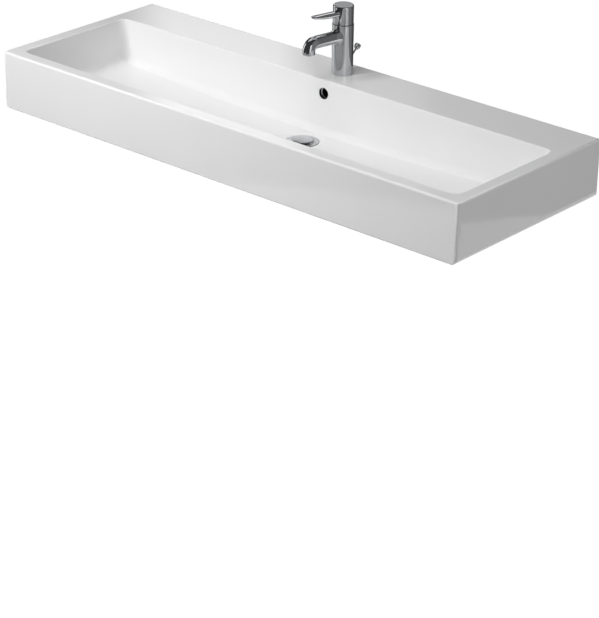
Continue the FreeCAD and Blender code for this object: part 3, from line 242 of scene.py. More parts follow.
for label, turn, half_width, height, half_height, brightness in tent_patches:
    bands = []
    for angle, middle, half, most in ((bearing, turn, half_width, brightness),
                                      (rise, height, half_height, 1.0)):
        off = add(tree, math_node, {"operation": "SUBTRACT"}, {1: math.radians(middle)}, {0: (angle, 0)})
        off = add(tree, math_node, {"operation": "WRAP"}, {1: math.pi, 2: -math.pi}, {0: (off, 0)})
        off = add(tree, math_node, {"operation": "ABSOLUTE"}, None, {0: (off, 0)})
        bands.append(add(tree, "ShaderNodeMapRange", {"interpolation_type": "SMOOTHSTEP"},
                         {"From Min": math.radians(half + patch_softness),
                          "From Max": math.radians(half - patch_softness), "To Max": most},
                         {"Value": (off, 0)}))
    window = add(tree, math_node, {"operation": "MULTIPLY"}, None, {0: (bands[0], 0), 1: (bands[1], 0)})
    light = add(tree, math_node, {"operation": "MAXIMUM", "label": label}, None,
                {0: (light, 0), 1: (window, 0)})
glow = add(tree, "ShaderNodeEmission", None, None, {"Strength": (light, 0)})
add(tree, "ShaderNodeOutputMaterial", None, None, {"Surface": (glow, 0)})
tent.data.materials.append(cloth)
print("tent", len(tent_patches), "patches of light")

# %% [markdown]
# The floor is a wide sheet of matt paper, as far below the basin as in a bathroom. A sheet lit by the lamps
# alone would be grey beside the white world, so for the camera and for mirrors more than half of what it
# shows is a white glow. The rest is lit paper, and keeps whatever shadow falls on it.

# %% Floor
floor_below_tap, floor_half = 1.05, 8.0
glow_share, glow_strength = 0.6, 1.6
floor_height = cad_high.z - floor_below_tap
sheet = [(u * floor_half, v * floor_half, floor_height) for u, v in ((-1, -1), (1, -1), (1, 1), (-1, 1))]
mesh = bpy.data.meshes.new("floor")
mesh.from_pydata(sheet, [], [(0, 1, 2, 3)])
floor = put("floor", mesh)
paper = bpy.data.materials.new("matt_white_paper_sweep")
tree = cleared(paper)
path = add(tree, "ShaderNodeLightPath")
seen = add(tree, math_node, {"operation": "MAXIMUM"}, None,
           {0: (path, "Is Camera Ray"), 1: (path, "Is Glossy Ray")})
lift = add(tree, math_node, {"operation": "MULTIPLY"}, {1: glow_share}, {0: (seen, 0)})
matt = add(tree, "ShaderNodeBsdfDiffuse", None, {"Color": colour("B4B4B4")})
glow = add(tree, "ShaderNodeEmission", None, {"Color": colour("FFFFFF"), "Strength": glow_strength})
both = add(tree, "ShaderNodeMixShader", None, None, {0: (lift, 0), 1: (matt, 0), 2: (glow, 0)})
add(tree, "ShaderNodeOutputMaterial", None, None, {"Surface": (both, 0)})
floor.data.materials.append(paper)
print("floor at", round(floor_height, 3), "m")

# %% [markdown]
# The basin is one fired block of vitreous china: a hollow box with a bowl let into it. On the real one the
# liquid clay is cast in plaster moulds, the edges are sponged round and the glaze melts over them.
# It could be modelled by subdividing a cage, but soft cages drift from their sizes. Here it is cut the way a
# mould maker draws it: a rounded block, minus the hollow below, plus the bowl's shell, minus the bowl.
# Each edge that the eye sees is a true arc, so the highlights run along it in one clean line.

# %% Sizes of the ceramic, in millimetres
basin_low, basin_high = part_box("basin")
block_half, block_depth, rim = (round(v / MM, 2) for v in (basin_high.x, -basin_low.y, basin_high.z))
block_low = -59.0
side_wall, back_wall, deck = 26.0, 12.0, 12.0
back_corner_radius, front_corner_radius = 4.0, 9.0                          # seen from above
bottom_edge_radius, top_edge_radius, back_edge_radius = 5.0, 5.0, 3.0       # seen from the end
bottom_end_radius = 18.0                                                    # seen from the front
corner_x, corner_back, corner_front = 552.0, -132.0, -392.0      # middles of the bowl's corner arcs
bowl_corner, bowl_fillet, bowl_lip = 18.0, 14.0, 3.0
bowl_end_depth, bowl_middle_depth = 95.0, 114.0
shell_wall, shell_floor, shell_fillet = 10.0, 9.5, 12.0
tap_y = -57.0
beyond = 1.0                       # a cutter reaches this far past what it cuts
arc_steps, long_steps, short_steps = 8, 64, 8      # straight stretches in a corner, a long and a short side
quarter = [math.pi / 2 * k / arc_steps for k in range(arc_steps + 1)]
print("ceramic", 2 * block_half, "x", block_depth, "x", rim - block_low, "mm")

# %% [markdown]
# Every solid below is a skin over loops of points: two loops make a prism, two circles a rod, and many loops
# a turned or lofted form. So one function lays the faces between loops, and the others only place points.


# %% Solids from loops of points
def solid(name, corners, faces):
    """A closed mesh object from points in millimetres, its faces turned outwards."""
    made = bmesh.new()
    points = [made.verts.new(Vector(c) * MM) for c in corners]
    for face in faces:
        made.faces.new([points[i] for i in face])
    bmesh.ops.recalc_face_normals(made, faces=made.faces)
    return put(name, meshed(name, made))


def sides(rows, count, ring=False):
    """Faces from each loop of count points to the next; in a ring the last loop joins the first."""
    return [(a * count + i, a * count + (i + 1) % count,
             (a + 1) % rows * count + (i + 1) % count, (a + 1) % rows * count + i)
            for a in range(rows if ring else rows - 1) for i in range(count)]


def stacked(name, loops):
    """A solid from loops with as many points each, and a flat face on the first and the last."""
    count = len(loops[0])
    last = (len(loops) - 1) * count
    corners = [point for loop in loops for point in loop]
    ends = [tuple(range(count)), tuple(range(last, last + count))]
    return solid(name, corners, sides(len(loops), count) + ends)


def prism(name, outline, place, start, end):
    """An outline pushed from start to end; place turns (u, v, along) into X, Y and Z."""
    return stacked(name, [[place(p[0], p[1], along) for p in outline] for along in (start, end)])


print("a brick has", len(sides(2, 4)) + 2, "faces")


# %% Bricks, rods and turned forms
def brick(name, low, high):
    """A plain box between two corners."""
    outline = [(low[0], low[1]), (high[0], low[1]), (high[0], high[1]), (low[0], high[1])]
    return prism(name, outline, lambda u, v, w: (u, v, w), low[2], high[2])


def circle(radius, steps):
    """Points round a circle."""
    turns = [2 * math.pi * k / steps for k in range(steps)]
    return [(radius * math.cos(turn), radius * math.sin(turn)) for turn in turns]


def rod(name, radius, middle, axis, start, end, steps=96):
    """A round bar along Y or Z; middle gives its place on the other two axes."""
    upright = lambda u, v, w: (middle[0] + u, middle[1] + v, w)
    lying = lambda u, v, w: (middle[0] + u, w, middle[1] + v)
    return prism(name, circle(radius, steps), upright if axis == "Z" else lying, start, end)


def turned(name, profile, middle, steps=96):
    """A solid turned about an upright axis from a profile of (radius, height), flat at both ends."""
    return stacked(name, [[(middle[0] + u, middle[1] + v, height) for u, v in circle(radius, steps)]
                          for radius, height in profile])


def rounded(corners, radii):
    """A 2-D outline with an arc at each corner that has a radius."""
    outline = []
    for i, (corner, radius) in enumerate(zip(corners, radii)):
        here = Vector(corner)
        back = (Vector(corners[i - 1]) - here).normalized()
        ahead = (Vector(corners[(i + 1) % len(corners)]) - here).normalized()
        if radius == 0:
            outline.append(here)
            continue
        middle = here + (back + ahead) * radius
        for turn in quarter:
            outline.append(middle - ahead * radius * math.cos(turn) - back * radius * math.sin(turn))
    return outline


plan = rounded([(-block_half, 0), (-block_half, -block_depth), (block_half, -block_depth), (block_half, 0)],
               [back_corner_radius, front_corner_radius, front_corner_radius, back_corner_radius])
end_view = rounded([(0, block_low), (-block_depth, block_low), (-block_depth, rim), (0, rim)],
                   [0, bottom_edge_radius, top_edge_radius, back_edge_radius])
front_view = rounded([(-block_half, block_low), (block_half, block_low),
                      (block_half, rim), (-block_half, rim)],
                     [bottom_end_radius, bottom_end_radius, top_edge_radius, top_edge_radius])
print("outlines", len(plan), len(end_view), len(front_view), "points")


# %% The rounded block: what three outlines have in common
def settle(piece):
    """Works a piece's modifiers into its mesh."""
    data = bpy.data.meshes.new_from_object(piece.evaluated_get(bpy.context.evaluated_depsgraph_get()))
    piece.modifiers.clear()
    piece.data = data


def boolean(piece, operation, *cutters):
    """Cuts, joins or intersects with each cutter in turn and deletes the cutters."""
    for cutter in cutters:
        step = piece.modifiers.new("step", "BOOLEAN")
        step.operation, step.solver, step.object = operation, "EXACT", cutter
        settle(piece)
        bpy.data.objects.remove(cutter)


basin = prism("ceramic_basin", plan, lambda u, v, w: (u, v, w), block_low, rim)
boolean(basin, "INTERSECT",
        prism("end_view", end_view, lambda u, v, w: (w, u, v), -block_half - beyond, block_half + beyond),
        prism("front_view", front_view, lambda u, v, w: (u, w, v), -block_depth - beyond, beyond))
print("rounded block", len(basin.data.polygons), "faces")

# %% [markdown]
# The bowl's floor falls 19 mm from both ends to the middle in one long arc, so water runs to the drain.
# Its shape follows a rule: every loop round the bowl keeps the same corner centres and only its radius and
# height change. Loops stacked by that rule give straight walls, a true fillet at the floor and a rolled lip.


# %% One loop round the bowl
def bowl_floor_height(x, reach, sink):
    """Height of the long arc of the floor at x."""
    fall = bowl_middle_depth - bowl_end_depth
    radius = (reach * reach + fall * fall) / (2 * fall)
    return rim - bowl_middle_depth - sink + radius - math.sqrt(radius * radius - x * x)


def bowl_loop(radius, height):
    """One loop round the bowl, anticlockwise; height turns x into z."""
    loop = []
    runs = [((corner_x, corner_back), 0.0, (-1, 0), 2 * corner_x, long_steps),
            ((-corner_x, corner_back), 0.5, (0, -1), corner_back - corner_front, short_steps),
            ((-corner_x, corner_front), 1.0, (1, 0), 2 * corner_x, long_steps),
            ((corner_x, corner_front), 1.5, (0, 1), corner_back - corner_front, short_steps)]
    for (cx, cy), first, ahead, length, steps in runs:
        for k in range(arc_steps):
            turn = math.pi * (first + 0.5 * k / arc_steps)
            loop.append((cx + radius * math.cos(turn), cy + radius * math.sin(turn)))
        out = math.pi * (first + 0.5)
        for k in range(steps):
            loop.append((cx + radius * math.cos(out) + ahead[0] * length * k / steps,
                         cy + radius * math.sin(out) + ahead[1] * length * k / steps))
    return [(x, y, height(x)) for x, y in loop]


print("bowl loop", len(bowl_loop(bowl_corner, lambda x: rim)), "points")


# %% Bowl and shell from the same loops
def bowl_form(name, grow, sink, fillet, top, lip):
    """The bowl as a solid, grown outwards and sunk, with an optional lip that flares to the rim."""
    reach = corner_x + bowl_corner + grow
    wall = bowl_corner + grow
    loops = [bowl_loop(wall + lip, lambda x: top)]
    for turn in reversed(quarter[1:]) if lip else ():
        height = rim - lip + lip * math.sin(turn)
        loops.append(bowl_loop(wall + lip * (1 - math.cos(turn)), lambda x: height))
    for turn in quarter:
        raised = fillet * (1 - math.sin(turn))
        loops.append(bowl_loop(wall - fillet * (1 - math.cos(turn)),
                               lambda x: bowl_floor_height(x, reach, sink) + raised))
    count = len(loops[0])
    last = (len(loops) - 1) * count
    # Narrow strips across the floor let it bend along its length; two flat ends close it
    back, front = arc_steps, 3 * arc_steps + long_steps + short_steps
    strips = [(last + back + k, last + back + k + 1,
               last + front + long_steps - 1 - k, last + front + long_steps - k) for k in range(long_steps)]
    ends = [tuple(last + i for i in range(back + long_steps, front + 1)),
            tuple(last + i % count for i in range(front + long_steps, count + back + 1))]
    corners = [point for loop in loops for point in loop]
    return solid(name, corners, sides(len(loops), count) + strips + ends + [tuple(range(count))])


print("lowest point of the floor", bowl_floor_height(0, corner_x + bowl_corner, 0), "mm")

# %% Sizes of the drain, the overflow and the holes, in millimetres
drain_x, drain_y, drain_radius, seat_radius, drain_boss_radius = 0.0, -177.0, 23.0, 35.0, 33.0
seat_sink, boss_drop, overflow_drop = 4.0, 22.5, 29.5
floor_middle = rim - bowl_middle_depth
seat_height, above_floor = floor_middle - seat_sink, floor_middle + 3 * beyond
boss_low = floor_middle - shell_floor - boss_drop
dish_inner, dish_outer, dish_sink = 36.5, 46.0, 1.5
bowl_back = corner_back + bowl_corner
shell_back = bowl_back + shell_wall
duct_half, duct_wall, duct_depth, duct_roof, run_height = 17.0, 7.0, 14.0, 4.0, 11.5
run_top = floor_middle - shell_floor - duct_roof
run_low = run_top - run_height
overflow_radius, overflow_height = 12.5, rim - overflow_drop
tap_hole_radius, bolt_hole_radius = 17.5, 8.0
first_bolt, bolt_pitch, bolt_count = -420.0, 280.0, 4
print("boss foot", boss_low, "overflow at", overflow_height, "mm")

# %% Cut the hollow, add the shell, boss and the channel's lid, then cut the bowl
boolean(basin, "DIFFERENCE",
        brick("hollow", (-block_half + side_wall, -block_depth + side_wall, block_low - beyond),
              (block_half - side_wall, -back_wall, rim - deck)))
boolean(basin, "UNION",
        bowl_form("shell", shell_wall, shell_floor, shell_fillet, rim - deck + 2 * beyond, 0),
        rod("boss", drain_boss_radius, (drain_x, drain_y), "Z", boss_low, seat_height),
        brick("channel_lid", (-duct_half - duct_wall, drain_y, run_top),
              (duct_half + duct_wall, shell_back, seat_height)))
print("with shell, boss and lid", len(basin.data.polygons), "faces")
boolean(basin, "DIFFERENCE", bowl_form("bowl", 0, 0, bowl_fillet, rim + 2 * beyond, bowl_lip))
print("with bowl", len(basin.data.polygons), "faces")

# %% Cut the water ways and the holes
dish_profile = [(dish_inner, floor_middle - dish_sink), (dish_outer, floor_middle),
                (dish_outer, floor_middle + 2 * beyond)]
bolt_places = [first_bolt + bolt_pitch * k for k in range(bolt_count)]
boolean(basin, "DIFFERENCE",
        turned("dish", dish_profile, (drain_x, drain_y), steps=128),
        rod("seat", seat_radius, (drain_x, drain_y), "Z", seat_height, above_floor, steps=128),
        rod("drain_hole", drain_radius, (drain_x, drain_y), "Z", boss_low - beyond, above_floor),
        brick("run", (-duct_half, drain_y, run_low), (duct_half, shell_back, run_top)),
        rod("overflow", overflow_radius, (0, overflow_height), "Y",
            bowl_back - 2 * beyond, shell_back + beyond),
        rod("tap_hole", tap_hole_radius, (0, tap_y), "Z", rim - deck - beyond, rim + beyond),
        *[rod("bolt_hole", bolt_hole_radius, (x, 0), "Y", -back_wall - beyond, beyond, steps=48)
          for x in bolt_places])
print("finished ceramic", len(basin.data.polygons), "faces")

# %% [markdown]
# A smooth surface is shaded by the normals at its corners. After cutting, a corner on the edge of the big
# flat shelf would borrow from the small fillet beside it, and the shelf would look dented. Weighting by
# face area gives the corner to the flat face, and edges sharper than 40 degrees stay crisp.

# %% Clean normals
weld_gap = 0.002 * MM


def crisp(piece, degrees=40.0):
    """Welds a cut mesh, shades it smooth and gives its normals to the larger faces."""
    made = bmesh.new()
    made.from_mesh(piece.data)
    bmesh.ops.remove_doubles(made, verts=made.verts, dist=weld_gap)
    bmesh.ops.dissolve_degenerate(made, edges=made.edges, dist=weld_gap)
    for face in made.faces:
        face.smooth = True
    for edge in made.edges:
        edge.smooth = len(edge.link_faces) == 2 and edge.calc_face_angle(0) < math.radians(degrees)
    made.to_mesh(piece.data)
    made.free()
    weigh = piece.modifiers.new("weigh", "WEIGHTED_NORMAL")
    weigh.keep_sharp = True
    settle(piece)


crisp(basin)
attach(basin, "basin_unit")
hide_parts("basin")
loose = sum(1 for e in basin.data.edges if e.is_loose)
print("basin", len(basin.data.vertices), "corners,", loose, "loose edges")

# %% [markdown]
# The glaze is glass melted over a white clay body at about 1200 degrees. It fills every pore, so it mirrors
# like window glass (IOR 1.5) over a neutral white. It isn't dead flat: surface tension leaves long, very
# shallow waves, which make mirrored edges swim a little. The back face, which meets the wall, stays raw:
# matt, gritty and a little buff. It could be a second material, but a coordinate already tells which face
# it is, so one mask does it. The overflow channel is deep and hardly any light comes back out of it, so its
# matt, gritty walls are painted near-black as painted shade, so that the hole reads as black.

# %% Where the clay is raw, and where the channel gets painted shade
raw_starts, raw_full = -1.2, -0.5      # millimetres before the wall
painted_shade_depth = 0.3                       # how far the channel's painted shade reaches into its walls
duct_back = shell_back + duct_depth


def back_face(tree, axes):
    """1 where the basin meets the wall, with a glaze line under 1 mm wide."""
    return add(tree, "ShaderNodeMapRange", None, {"From Min": raw_starts * MM, "From Max": raw_full * MM},
               {"Value": (axes, "Y")})


def channel_painted_shade_mask(tree, axes):
    """1 within the channel, where the walls get painted shade: between its side walls, before its back wall
    and above its floor.
    """
    aside = add(tree, math_node, {"operation": "ABSOLUTE"}, None, {0: (axes, "X")})
    inside = add(tree, math_node, {"operation": "LESS_THAN"}, {1: (duct_half + painted_shade_depth) * MM},
                 {0: (aside, 0)})
    for operation, axis, limit in (("LESS_THAN", "Y", duct_back + painted_shade_depth),
                                   ("GREATER_THAN", "Z", run_low - painted_shade_depth)):
        within = add(tree, math_node, {"operation": operation}, {1: limit * MM}, {0: (axes, axis)})
        inside = add(tree, math_node, {"operation": "MULTIPLY"}, None, {0: (inside, 0), 1: (within, 0)})
    return inside


print("channel from", bowl_back, "to", duct_back, "mm")

# %% Glazed vitreous china
# Size in millimetres and detail: the shade drifts over a hand's width, the waves and the grain are small
glaze_drift, glaze_waves, clay_grain = (180, 2.0), (16, 1.0), (0.6, 3.0)
wave_height, grain_height = 0.012, 0.06
clay_roughness, glaze_finest, glaze_dullest = 0.85, 0.035, 0.06
noise_spread = 0.3, 0.7                # nearly all of a noise texture lies between these


def glazed_china(name, raw_or_shade_mask, raw_or_shade_colour):
    """Glaze over a white body; the mask function gives the node that is 1 where the body is unglazed, or
    where the channel's walls get a near-black painted shade.
    """
    made = bpy.data.materials.new(name)
    tree = cleared(made)
    place = add(tree, "ShaderNodeTexCoord")
    axes = add(tree, "ShaderNodeSeparateXYZ", None, None, {0: (place, "Object")})
    raw_or_shade = raw_or_shade_mask(tree, axes)
    drift, waves, grain = [
        add(tree, "ShaderNodeTexNoise", None, {"Scale": 1 / (size * MM), "Detail": detail},
            {"Vector": (place, "Object")}) for size, detail in (glaze_drift, glaze_waves, clay_grain)]
    # A Mix node has sockets for each kind of data: 2 and 3 take numbers, 6 and 7 colours
    white = add(tree, "ShaderNodeMix", {"data_type": "RGBA"}, {6: colour("F0F0F0"), 7: colour("ECECEC")},
                {0: (drift, "Fac")})
    # Where the mask is 1 the colour is the bare body's buff on the back face, or painted shade in the
    # channel.
    clay_or_shade = add(tree, "ShaderNodeMix", {"data_type": "RGBA"}, {7: colour(raw_or_shade_colour)},
               {0: (raw_or_shade, 0), 6: (white, 2)})
    gloss = add(tree, "ShaderNodeMapRange", None,
                {"From Min": noise_spread[0], "From Max": noise_spread[1],
                 "To Min": glaze_finest, "To Max": glaze_dullest}, {"Value": (drift, "Fac")})
    rough = add(tree, "ShaderNodeMix", None, {3: clay_roughness}, {0: (raw_or_shade, 0), 2: (gloss, 0)})
    swim = add(tree, "ShaderNodeBump", None, {"Distance": wave_height * MM}, {"Height": (waves, "Fac")})
    grit = add(tree, "ShaderNodeBump", None, {"Distance": grain_height * MM},
               {"Strength": (raw_or_shade, 0), "Height": (grain, "Fac"), "Normal": (swim, 0)})
    skin = add(tree, "ShaderNodeBsdfPrincipled", None, {"IOR": 1.5},
               {"Base Color": (clay_or_shade, 2), "Roughness": (rough, 0), "Normal": (grit, 0)})
    add(tree, "ShaderNodeOutputMaterial", None, None, {"Surface": (skin, 0)})
    return made


finishes = {"ceramic": glazed_china("glazed_vitreous_china", back_face, "E4DCCF")}
# The channel's near-black 1E1B18 is painted shade: it stands in for the dark of a deep hole.
channel_painted_shade_finish = glazed_china("glazed_china_channel_painted_shade", channel_painted_shade_mask, "1E1B18")
print("glaze", len(finishes["ceramic"].node_tree.nodes), "nodes")

# %% [markdown]
# The metals and the moulded parts share one build. A cloudy noise drifts over the piece, and it changes the
# shade and the roughness together, because where a surface is dull it also looks another shade. A second,
# finer texture is the relief that the tool, the mould or the bath has left. Each could have a tree of its
# own, but they would differ only in numbers and in the kind of the finer texture.

# %% One build for metals and moulded parts
metal, plastic = {"Metallic": 1.0}, {"IOR": 1.5}
noise = "ShaderNodeTexNoise"


def drifting_finish(name, body, shades, gloss, clouds, relief, relief_height, spread=noise_spread):
    """A finish that drifts between two shades and two roughnesses over clouds of noise.

    clouds are their size in millimetres and their detail, relief is the kind, settings and values of the
    texture that gives the height, and spread the part of the noise's range that the drift uses.
    """
    made = bpy.data.materials.new(name)
    tree = cleared(made)
    place = add(tree, "ShaderNodeTexCoord")
    drift = add(tree, noise, None, {"Scale": 1 / (clouds[0] * MM), "Detail": clouds[1]},
                {"Vector": (place, "Object")})
    fine = add(tree, *relief, {"Vector": (place, "Object")})
    shade = add(tree, "ShaderNodeMix", {"data_type": "RGBA"}, {6: colour(shades[0]), 7: colour(shades[1])},
                {0: (drift, "Fac")})
    rough = add(tree, "ShaderNodeMapRange", None,
                {"From Min": spread[0], "From Max": spread[1], "To Min": gloss[0], "To Max": gloss[1]},
                {"Value": (drift, "Fac")})
    bump = add(tree, "ShaderNodeBump", None, {"Distance": relief_height * MM}, {"Height": (fine, "Fac")})
    skin = add(tree, "ShaderNodeBsdfPrincipled", None, body,
               {"Base Color": (shade, 2), "Roughness": (rough, 0), "Normal": (bump, 0)})
    add(tree, "ShaderNodeOutputMaterial", None, None, {"Surface": (skin, 0)})
    return made


print("metal", metal, "plastic", plastic)

# %% [markdown]
# Chrome plate is a film of chromium thinner than a thousandth of a millimetre, over nickel on brass. It has
# no colour of its own but a faint cold tint, and it is polished until it mirrors. What tells it from a
# computer's mirror is handling: buffing leaves long shallow waves, and wiping leaves a film that blurs the
# mirror in patches. The drain's ring and stopper are drawn as plate that has worn to satin. That is a guess:
# polished plate mirrors the dark tent there as a black gap, which the photograph doesn't show, and satin
# plate spreads it out. Both are one recipe with another gloss.


# %% Polished and satin chrome plate
def chrome_plate(name, gloss):
    """Chrome plate whose film of wiping is 11 mm wide and whose buffing waves are 9 mm long."""
    buffing = noise, None, {"Scale": 1 / (9 * MM), "Detail": 0.0}
    return drifting_finish(name, metal, ("D7D8DA", "CFD1D4"), gloss, clouds=(11, 4.0), relief=buffing,
                           relief_height=0.004, spread=(0.45, 0.75))


finishes["chrome"] = chrome_plate("polished_chrome_plate", (0.03, 0.075))
satin_finish = chrome_plate("satin_worn_chrome_plate", (0.3, 0.4))
print("chrome", finishes["chrome"].name, "and", satin_finish.name)

# %% [markdown]
# The hidden metal isn't plated for looks. Brass fittings are turned on a lathe: the tool leaves fine rings, a
# quarter of a millimetre apart, here drawn at 0.5 mm so that they show, and the yellow dulls in patches as
# it tarnishes. Bolts, nuts and springs are steel under a zinc coat about a hundredth of a millimetre thick:
# grey with a cold blue cast, cloudy, and rougher than chrome.

# %% Turned brass and zinc-plated steel
wave_unit = 0.314      # a Wave texture of scale 1 repeats after this length
ring_spacing, pit_size = 0.5, 0.4
rings_scale = {"Scale": wave_unit / (ring_spacing * MM), "Distortion": 0.6}
lathe_rings = "ShaderNodeTexWave", {"bands_direction": "Z"}, rings_scale
zinc_pits = noise, None, {"Scale": 1 / (pit_size * MM), "Detail": 2.0}
finishes["brass"] = drifting_finish("turned_brass", metal, ("D2AE66", "A37C40"), (0.2, 0.42),
                                    clouds=(8, 5.0), relief=lathe_rings, relief_height=0.01)
finishes["steel"] = drifting_finish("zinc_plated_steel", metal, ("C2C6CA", "9CA6B2"), (0.26, 0.46),
                                    clouds=(5, 4.0), relief=zinc_pits, relief_height=0.008)
print("metals", [finishes[slot].name for slot in ("brass", "steel")])

# %% [markdown]
# Seals, sleeves and bushes are moulded. Their base shade drifts a little, the mould's spark-worn steel leaves
# a grain, and the gloss follows the drift. Nitrile rubber is black and dull with a grey bloom, acetal is a
# waxy white, and polypropylene a soft grey.

# %% Moulded rubber and plastics
moulded = [
    # slot, name, dark and light shade, least and most roughness, drift and grain in mm, grain height in mm
    ("rubber", "moulded_nitrile_rubber", ("161617", "2C2C2E"), (0.55, 0.8), 6, 0.5, 0.03),
    ("white_plastic", "moulded_acetal", ("E1E0DA", "ECEBE6"), (0.32, 0.45), 12, 0.7, 0.01),
    ("grey_plastic", "moulded_polypropylene", ("686B70", "787B80"), (0.38, 0.52), 10, 0.8, 0.015),
]
for slot, name, shades, gloss, drift_size, grain_size, grain_depth in moulded:
    mould_grain = noise, None, {"Scale": 1 / (grain_size * MM), "Detail": 1.0}
    finishes[slot] = drifting_finish(name, plastic, shades, gloss, clouds=(drift_size, 3.0),
                                     relief=mould_grain, relief_height=grain_depth)
print("moulded", [finishes[row[0]].name for row in moulded])

# %% [markdown]
# The lever is one chromed casting: a round cap and a slim grip. The grip could be cut from a block, but a
# caster rounds its section so that it leaves the mould and sits well in the hand, and that crown is what
# catches the light. So it is lofted: one oval section is drawn at each place along the grip, wide and deep
# as two simple rules say, and the sections are joined. The cap is turned, then hollowed below.

# %% Sizes of the grip, in millimetres; its heights are over the rim
grip_start, grip_root, grip_middle, grip_tip = 15.0, 19.0, 58.0, 95.5      # before the tap's axis
grip_root_half, grip_tip_half, grip_tip_round, section_power = 8.5, 7.2, 7.5, 2.1
grip_tops = 136.8, 143.6                      # at the root and the tip
grip_bottoms = 124.5, 127.7, 137.1            # at the root, the middle and the tip
bend_half = 12.0                              # the underside bends this far on both sides of the middle
tip_width_share, tip_height_share = 0.02, 0.35      # what is left of the section at the very tip
grip_steps, section_points = 40, 48
print("grip", grip_tip - grip_root, "mm long")


# %% Loft the grip
def grip_section(reach):
    """One section of the grip, reach millimetres before the tap's axis."""
    share = (reach - grip_root) / (grip_tip - grip_root)
    half = grip_root_half + (grip_tip_half - grip_root_half) * share
    top = grip_tops[0] + (grip_tops[1] - grip_tops[0]) * share
    slope_in = (grip_bottoms[1] - grip_bottoms[0]) / (grip_middle - grip_root)
    slope_out = (grip_bottoms[2] - grip_bottoms[1]) / (grip_tip - grip_middle)
    off = reach - grip_middle
    blend = min(max((off + bend_half) / (2 * bend_half), 0.0), 1.0)
    bent = max(off - bend_half, 0) + bend_half * blend * blend
    bottom = grip_bottoms[1] + slope_in * off + (slope_out - slope_in) * bent
    left = min((grip_tip - reach) / grip_tip_round, 1)
    close = math.sqrt(max(1 - (1 - left) ** 2, tip_width_share ** 2))
    middle = (top + bottom) / 2
    tall = (top - bottom) / 2 * (tip_height_share + (1 - tip_height_share) * close)
    loop = []
    for k in range(section_points):
        turn = 2 * math.pi * k / section_points
        c, s = math.cos(turn), math.sin(turn)
        loop.append((half * close * math.copysign(abs(c) ** (2 / section_power), c), tap_y - reach,
                     rim + middle + tall * math.copysign(abs(s) ** (2 / section_power), s)))
    return loop


# Sections stand closer together towards the rounded tip
reaches = [grip_start + (grip_tip - grip_start) * math.sin(math.pi / 2 * (k / grip_steps))
           for k in range(grip_steps + 1)]
grip = stacked("grip", [grip_section(reach) for reach in reaches])
print("grip", len(grip.data.polygons), "faces")

# %% Turn the cap, join the grip and hollow it
cap_low, cap_high = rim + 107.5, rim + 146.0
cap_radius, cap_wall, cap_roof, cap_edge = 21.2, 2.2, 5.0, 2.5
relief_start, relief_rise = 12.0, 2.42      # towards the wall the underside slopes up, so the lever can tip
screw_x, screw_y, screw_low, screw_radius, screw_length = 13.0, tap_y - 3.0, rim + 120.5, 1.55, 10.8
screw_boss_radius, screw_boss_low = 3.2, screw_low + 1.8
edge = [(cap_radius - cap_edge * (1 - math.cos(turn)), cap_high - cap_edge * (1 - math.sin(turn)))
        for turn in quarter]
lever = turned("chromed_lever", [(cap_radius, cap_low)] + edge, (0, tap_y))
boolean(lever, "UNION", grip)
boolean(lever, "DIFFERENCE",
        rod("hollow", cap_radius - cap_wall, (0, tap_y), "Z", cap_low - beyond, cap_high - cap_roof),
        prism("relief", [(relief_start, cap_low), (cap_radius + beyond, cap_low + relief_rise),
                         (cap_radius + beyond, cap_low - beyond), (relief_start, cap_low - beyond)],
              lambda u, v, w: (w, tap_y + u, v), -cap_radius - beyond, cap_radius + beyond))
boolean(lever, "UNION", *[rod("boss", screw_boss_radius, (x, screw_y), "Z", screw_boss_low,
                              cap_high - cap_roof + beyond, steps=32) for x in (-screw_x, screw_x)])
boolean(lever, "DIFFERENCE", *[rod("screw_hole", screw_radius, (x, screw_y), "Z", screw_low,
                                   screw_low + screw_length, steps=24) for x in (-screw_x, screw_x)])
crisp(lever, 35.0)
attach(lever, "handle")
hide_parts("lever")
print("lever", len(lever.data.polygons), "faces")

# %% [markdown]
# The overflow hole is dressed with a thin chromed liner. The real one is drawn from tube and its inner end is
# rolled over to a bead, which stiffens it and is the bright arc that the eye finds in the dark hole. The
# bead could be left out, but then the hole is a flat black spot. One profile is swept round the hole's axis.

# %% Liner of the overflow hole
liner_outer, liner_bore, liner_length, liner_lip = 12.45, 11.65, 9.0, 0.4
liner_chamfer, bead_step = 0.3 * liner_lip, 0.1
bead_radius, bead_depth, bead_reach = 0.8, 8.2, 11.0
liner_steps, bead_steps = 72, 10
bead_turns = [math.pi * k / bead_steps for k in range(bead_steps + 1)]
profile = [(liner_lip, liner_outer), (liner_length, liner_outer)]
profile += [(bead_depth + bead_radius * math.cos(turn), bead_reach - bead_radius * math.sin(turn))
            for turn in bead_turns]
profile += [(bead_depth - bead_radius - bead_step, liner_bore), (liner_lip, liner_bore),
            (liner_chamfer, liner_bore + liner_chamfer), (0.0, (liner_bore + liner_outer) / 2),
            (liner_chamfer, liner_outer - liner_chamfer)]
corners = [(u * radius, bowl_back + depth, overflow_height + v * radius)
           for u, v in circle(1, liner_steps) for depth, radius in profile]
liner = solid("chromed_liner", corners, sides(liner_steps, len(profile), ring=True))
crisp(liner, 50.0)
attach(liner, "basin_unit")
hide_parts("overflow_ring")
print("liner", len(liner.data.polygons), "faces")

# %% [markdown]
# A screw thread is one ridge wound round a bar, so its shape follows a rule: how far out the metal stands
# depends on the height and the angle together. Modelling the ridge by hand would take hours, and a bump map
# leaves the outline smooth. Geometry Nodes can roll a flat grid into the bar and push every point in or out
# by that rule. The same tree makes the M10 machine thread of the wall bolts, their coarse wood thread with
# its point, their plain shank (a thread of no depth), and the M6 stud under the tap.

